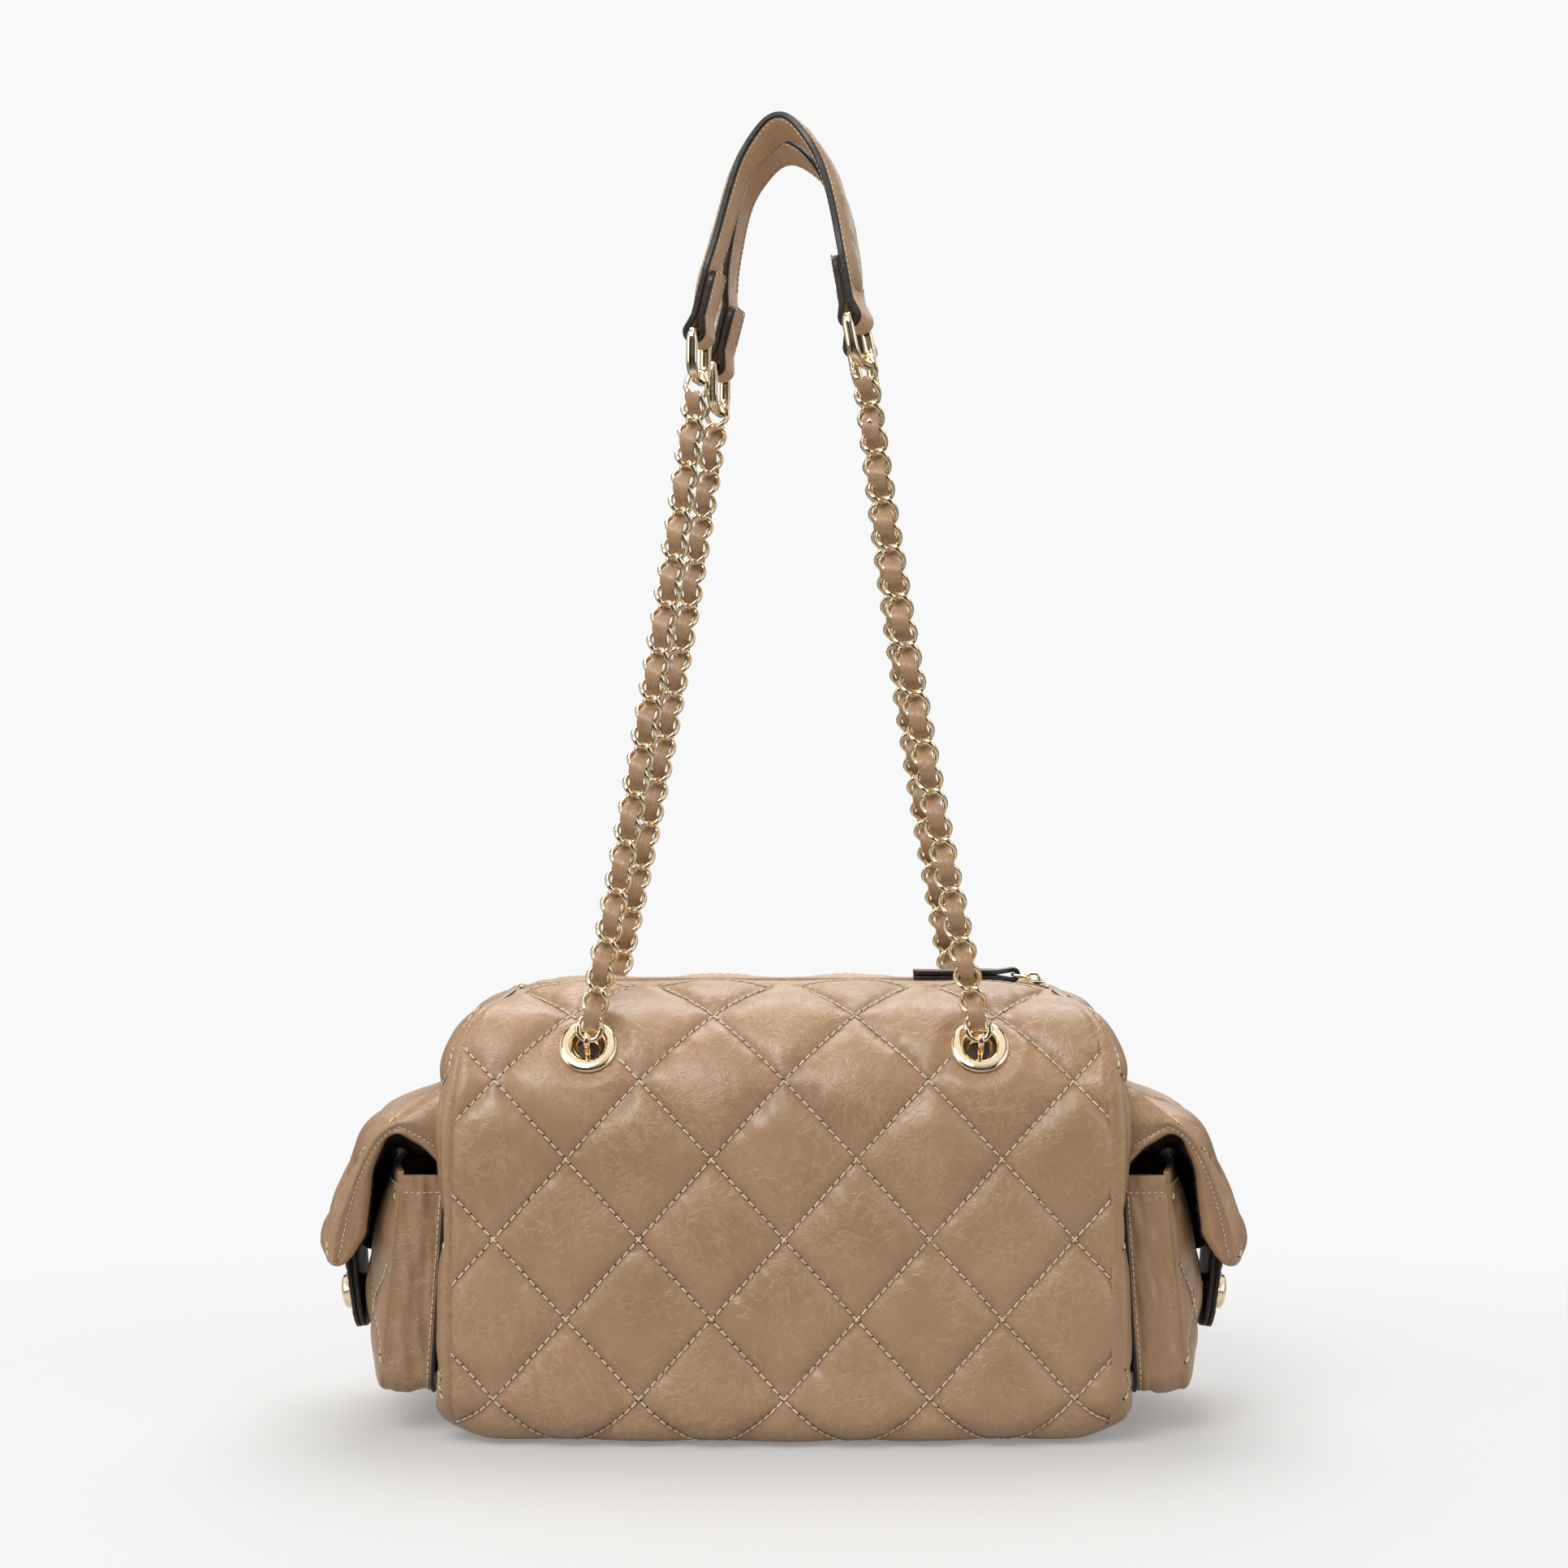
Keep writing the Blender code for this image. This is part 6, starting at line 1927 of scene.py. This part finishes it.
class BAG_OT_base(bpy.types.Operator):
    """Makes the base and finishes the hidden pieces"""

    bl_idname = "bag.base"
    bl_label = "Base and inside"
    bl_options = {"REGISTER", "UNDO"}

    def execute(self, context):
        base()
        inside()
        return {"FINISHED"}


class BAG_OT_ends(bpy.types.Operator):
    """Makes the two puffed ends"""

    bl_idname = "bag.ends"
    bl_label = "End panels"
    bl_options = {"REGISTER", "UNDO"}

    def execute(self, context):
        for side in SIDES:
            end_panel(side)
        return {"FINISHED"}


class BAG_OT_zip_row(bpy.types.Operator):
    """Makes the tapes, teeth and stops"""

    bl_idname = "bag.zip_row"
    bl_label = "Zip"
    bl_options = {"REGISTER", "UNDO"}

    def execute(self, context):
        zip_fastener()
        return {"FINISHED"}


class BAG_OT_slider(bpy.types.Operator):
    """Makes the zip's slider and its bridge"""

    bl_idname = "bag.slider"
    bl_label = "Slider"
    bl_options = {"REGISTER", "UNDO"}

    def execute(self, context):
        slider()
        return {"FINISHED"}


class BAG_OT_pull(bpy.types.Operator):
    """Makes the pull ring and its leather tab"""

    bl_idname = "bag.pull"
    bl_label = "Pull"
    bl_options = {"REGISTER", "UNDO"}

    def execute(self, context):
        pull()
        return {"FINISHED"}


class BAG_OT_eyelets(bpy.types.Operator):
    """Makes the four eyelets and their bails"""

    bl_idname = "bag.eyelets"
    bl_label = "Eyelets"
    bl_options = {"REGISTER", "UNDO"}

    def execute(self, context):
        eyelets()
        return {"FINISHED"}


class BAG_OT_chains(bpy.types.Operator):
    """Makes the four curb chains"""

    bl_idname = "bag.chains"
    bl_label = "Chains"
    bl_options = {"REGISTER", "UNDO"}

    def execute(self, context):
        for corner in CORNERS:
            chain(corner)
        return {"FINISHED"}


class BAG_OT_laces(bpy.types.Operator):
    """Weaves the leather ribbons through the chains"""

    bl_idname = "bag.laces"
    bl_label = "Laces"
    bl_options = {"REGISTER", "UNDO"}

    def execute(self, context):
        for corner in CORNERS:
            lace(corner)
        return {"FINISHED"}


class BAG_OT_straps(bpy.types.Operator):
    """Makes the oval rings and padded straps"""

    bl_idname = "bag.straps"
    bl_label = "Straps and rings"
    bl_options = {"REGISTER", "UNDO"}

    def execute(self, context):
        for handle in FACES:
            strap(handle)
        return {"FINISHED"}


class BAG_OT_pockets(bpy.types.Operator):
    """Makes the pockets' backs, gussets and fronts"""

    bl_idname = "bag.pockets"
    bl_label = "Pockets"
    bl_options = {"REGISTER", "UNDO"}

    def execute(self, context):
        for side in SIDES:
            pocket_back(side)
            pocket_gusset(side)
            pocket_front(side)
        return {"FINISHED"}


class BAG_OT_flaps(bpy.types.Operator):
    """Makes the padded flaps and their linings"""

    bl_idname = "bag.flaps"
    bl_label = "Flaps"
    bl_options = {"REGISTER", "UNDO"}

    def execute(self, context):
        for side in SIDES:
            flap(side)
        return {"FINISHED"}


class BAG_OT_closures(bpy.types.Operator):
    """Makes the tabs, caps and sockets"""

    bl_idname = "bag.closures"
    bl_label = "Closures"
    bl_options = {"REGISTER", "UNDO"}

    def execute(self, context):
        for side in SIDES:
            closure(side)
        return {"FINISHED"}


class BAG_OT_studio(bpy.types.Operator):
    """Makes the floor, lights and world"""

    bl_idname = "bag.studio"
    bl_label = "Studio"
    bl_options = {"REGISTER", "UNDO"}

    def execute(self, context):
        studio()
        return {"FINISHED"}


STEPS = (
    BAG_OT_camera,
    BAG_OT_long_panels,
    BAG_OT_base,
    BAG_OT_ends,
    BAG_OT_zip_row,
    BAG_OT_slider,
    BAG_OT_pull,
    BAG_OT_eyelets,
    BAG_OT_chains,
    BAG_OT_laces,
    BAG_OT_straps,
    BAG_OT_pockets,
    BAG_OT_flaps,
    BAG_OT_closures,
    BAG_OT_studio,
)


class BAG_PT_panel(bpy.types.Panel):
    """Lists the bag's pieces and settings"""

    bl_label = "Quilted Bag"
    bl_idname = "BAG_PT_panel"
    bl_space_type = "VIEW_3D"
    bl_region_type = "UI"
    bl_category = "Quilted Bag"

    def draw(self, context):
        # The settings first, then a button for each step
        layout = self.layout
        for settings in (context.scene.bag_quilting, context.scene.bag_finishes):
            column = layout.column(align=True)
            for name in settings.__annotations__:
                column.prop(settings, name)
        for step in STEPS:
            layout.operator(step.bl_idname)


CLASSES = (QuiltSettings, FinishSettings, *STEPS, BAG_PT_panel)


def register():
    """Makes the classes and the scene's settings known."""
    for item in CLASSES:
        bpy.utils.register_class(item)
    bpy.types.Scene.bag_quilting = PointerProperty(type=QuiltSettings)
    bpy.types.Scene.bag_finishes = PointerProperty(type=FinishSettings)


def unregister():
    """Takes the settings and the classes away again."""
    del bpy.types.Scene.bag_quilting
    del bpy.types.Scene.bag_finishes
    for item in reversed(CLASSES):
        bpy.utils.unregister_class(item)


def main():
    """Runs every step in order."""
    register()
    for step in STEPS:
        getattr(bpy.ops.bag, step.bl_idname.split(".")[1])()


if __name__ == "__main__":
    main()
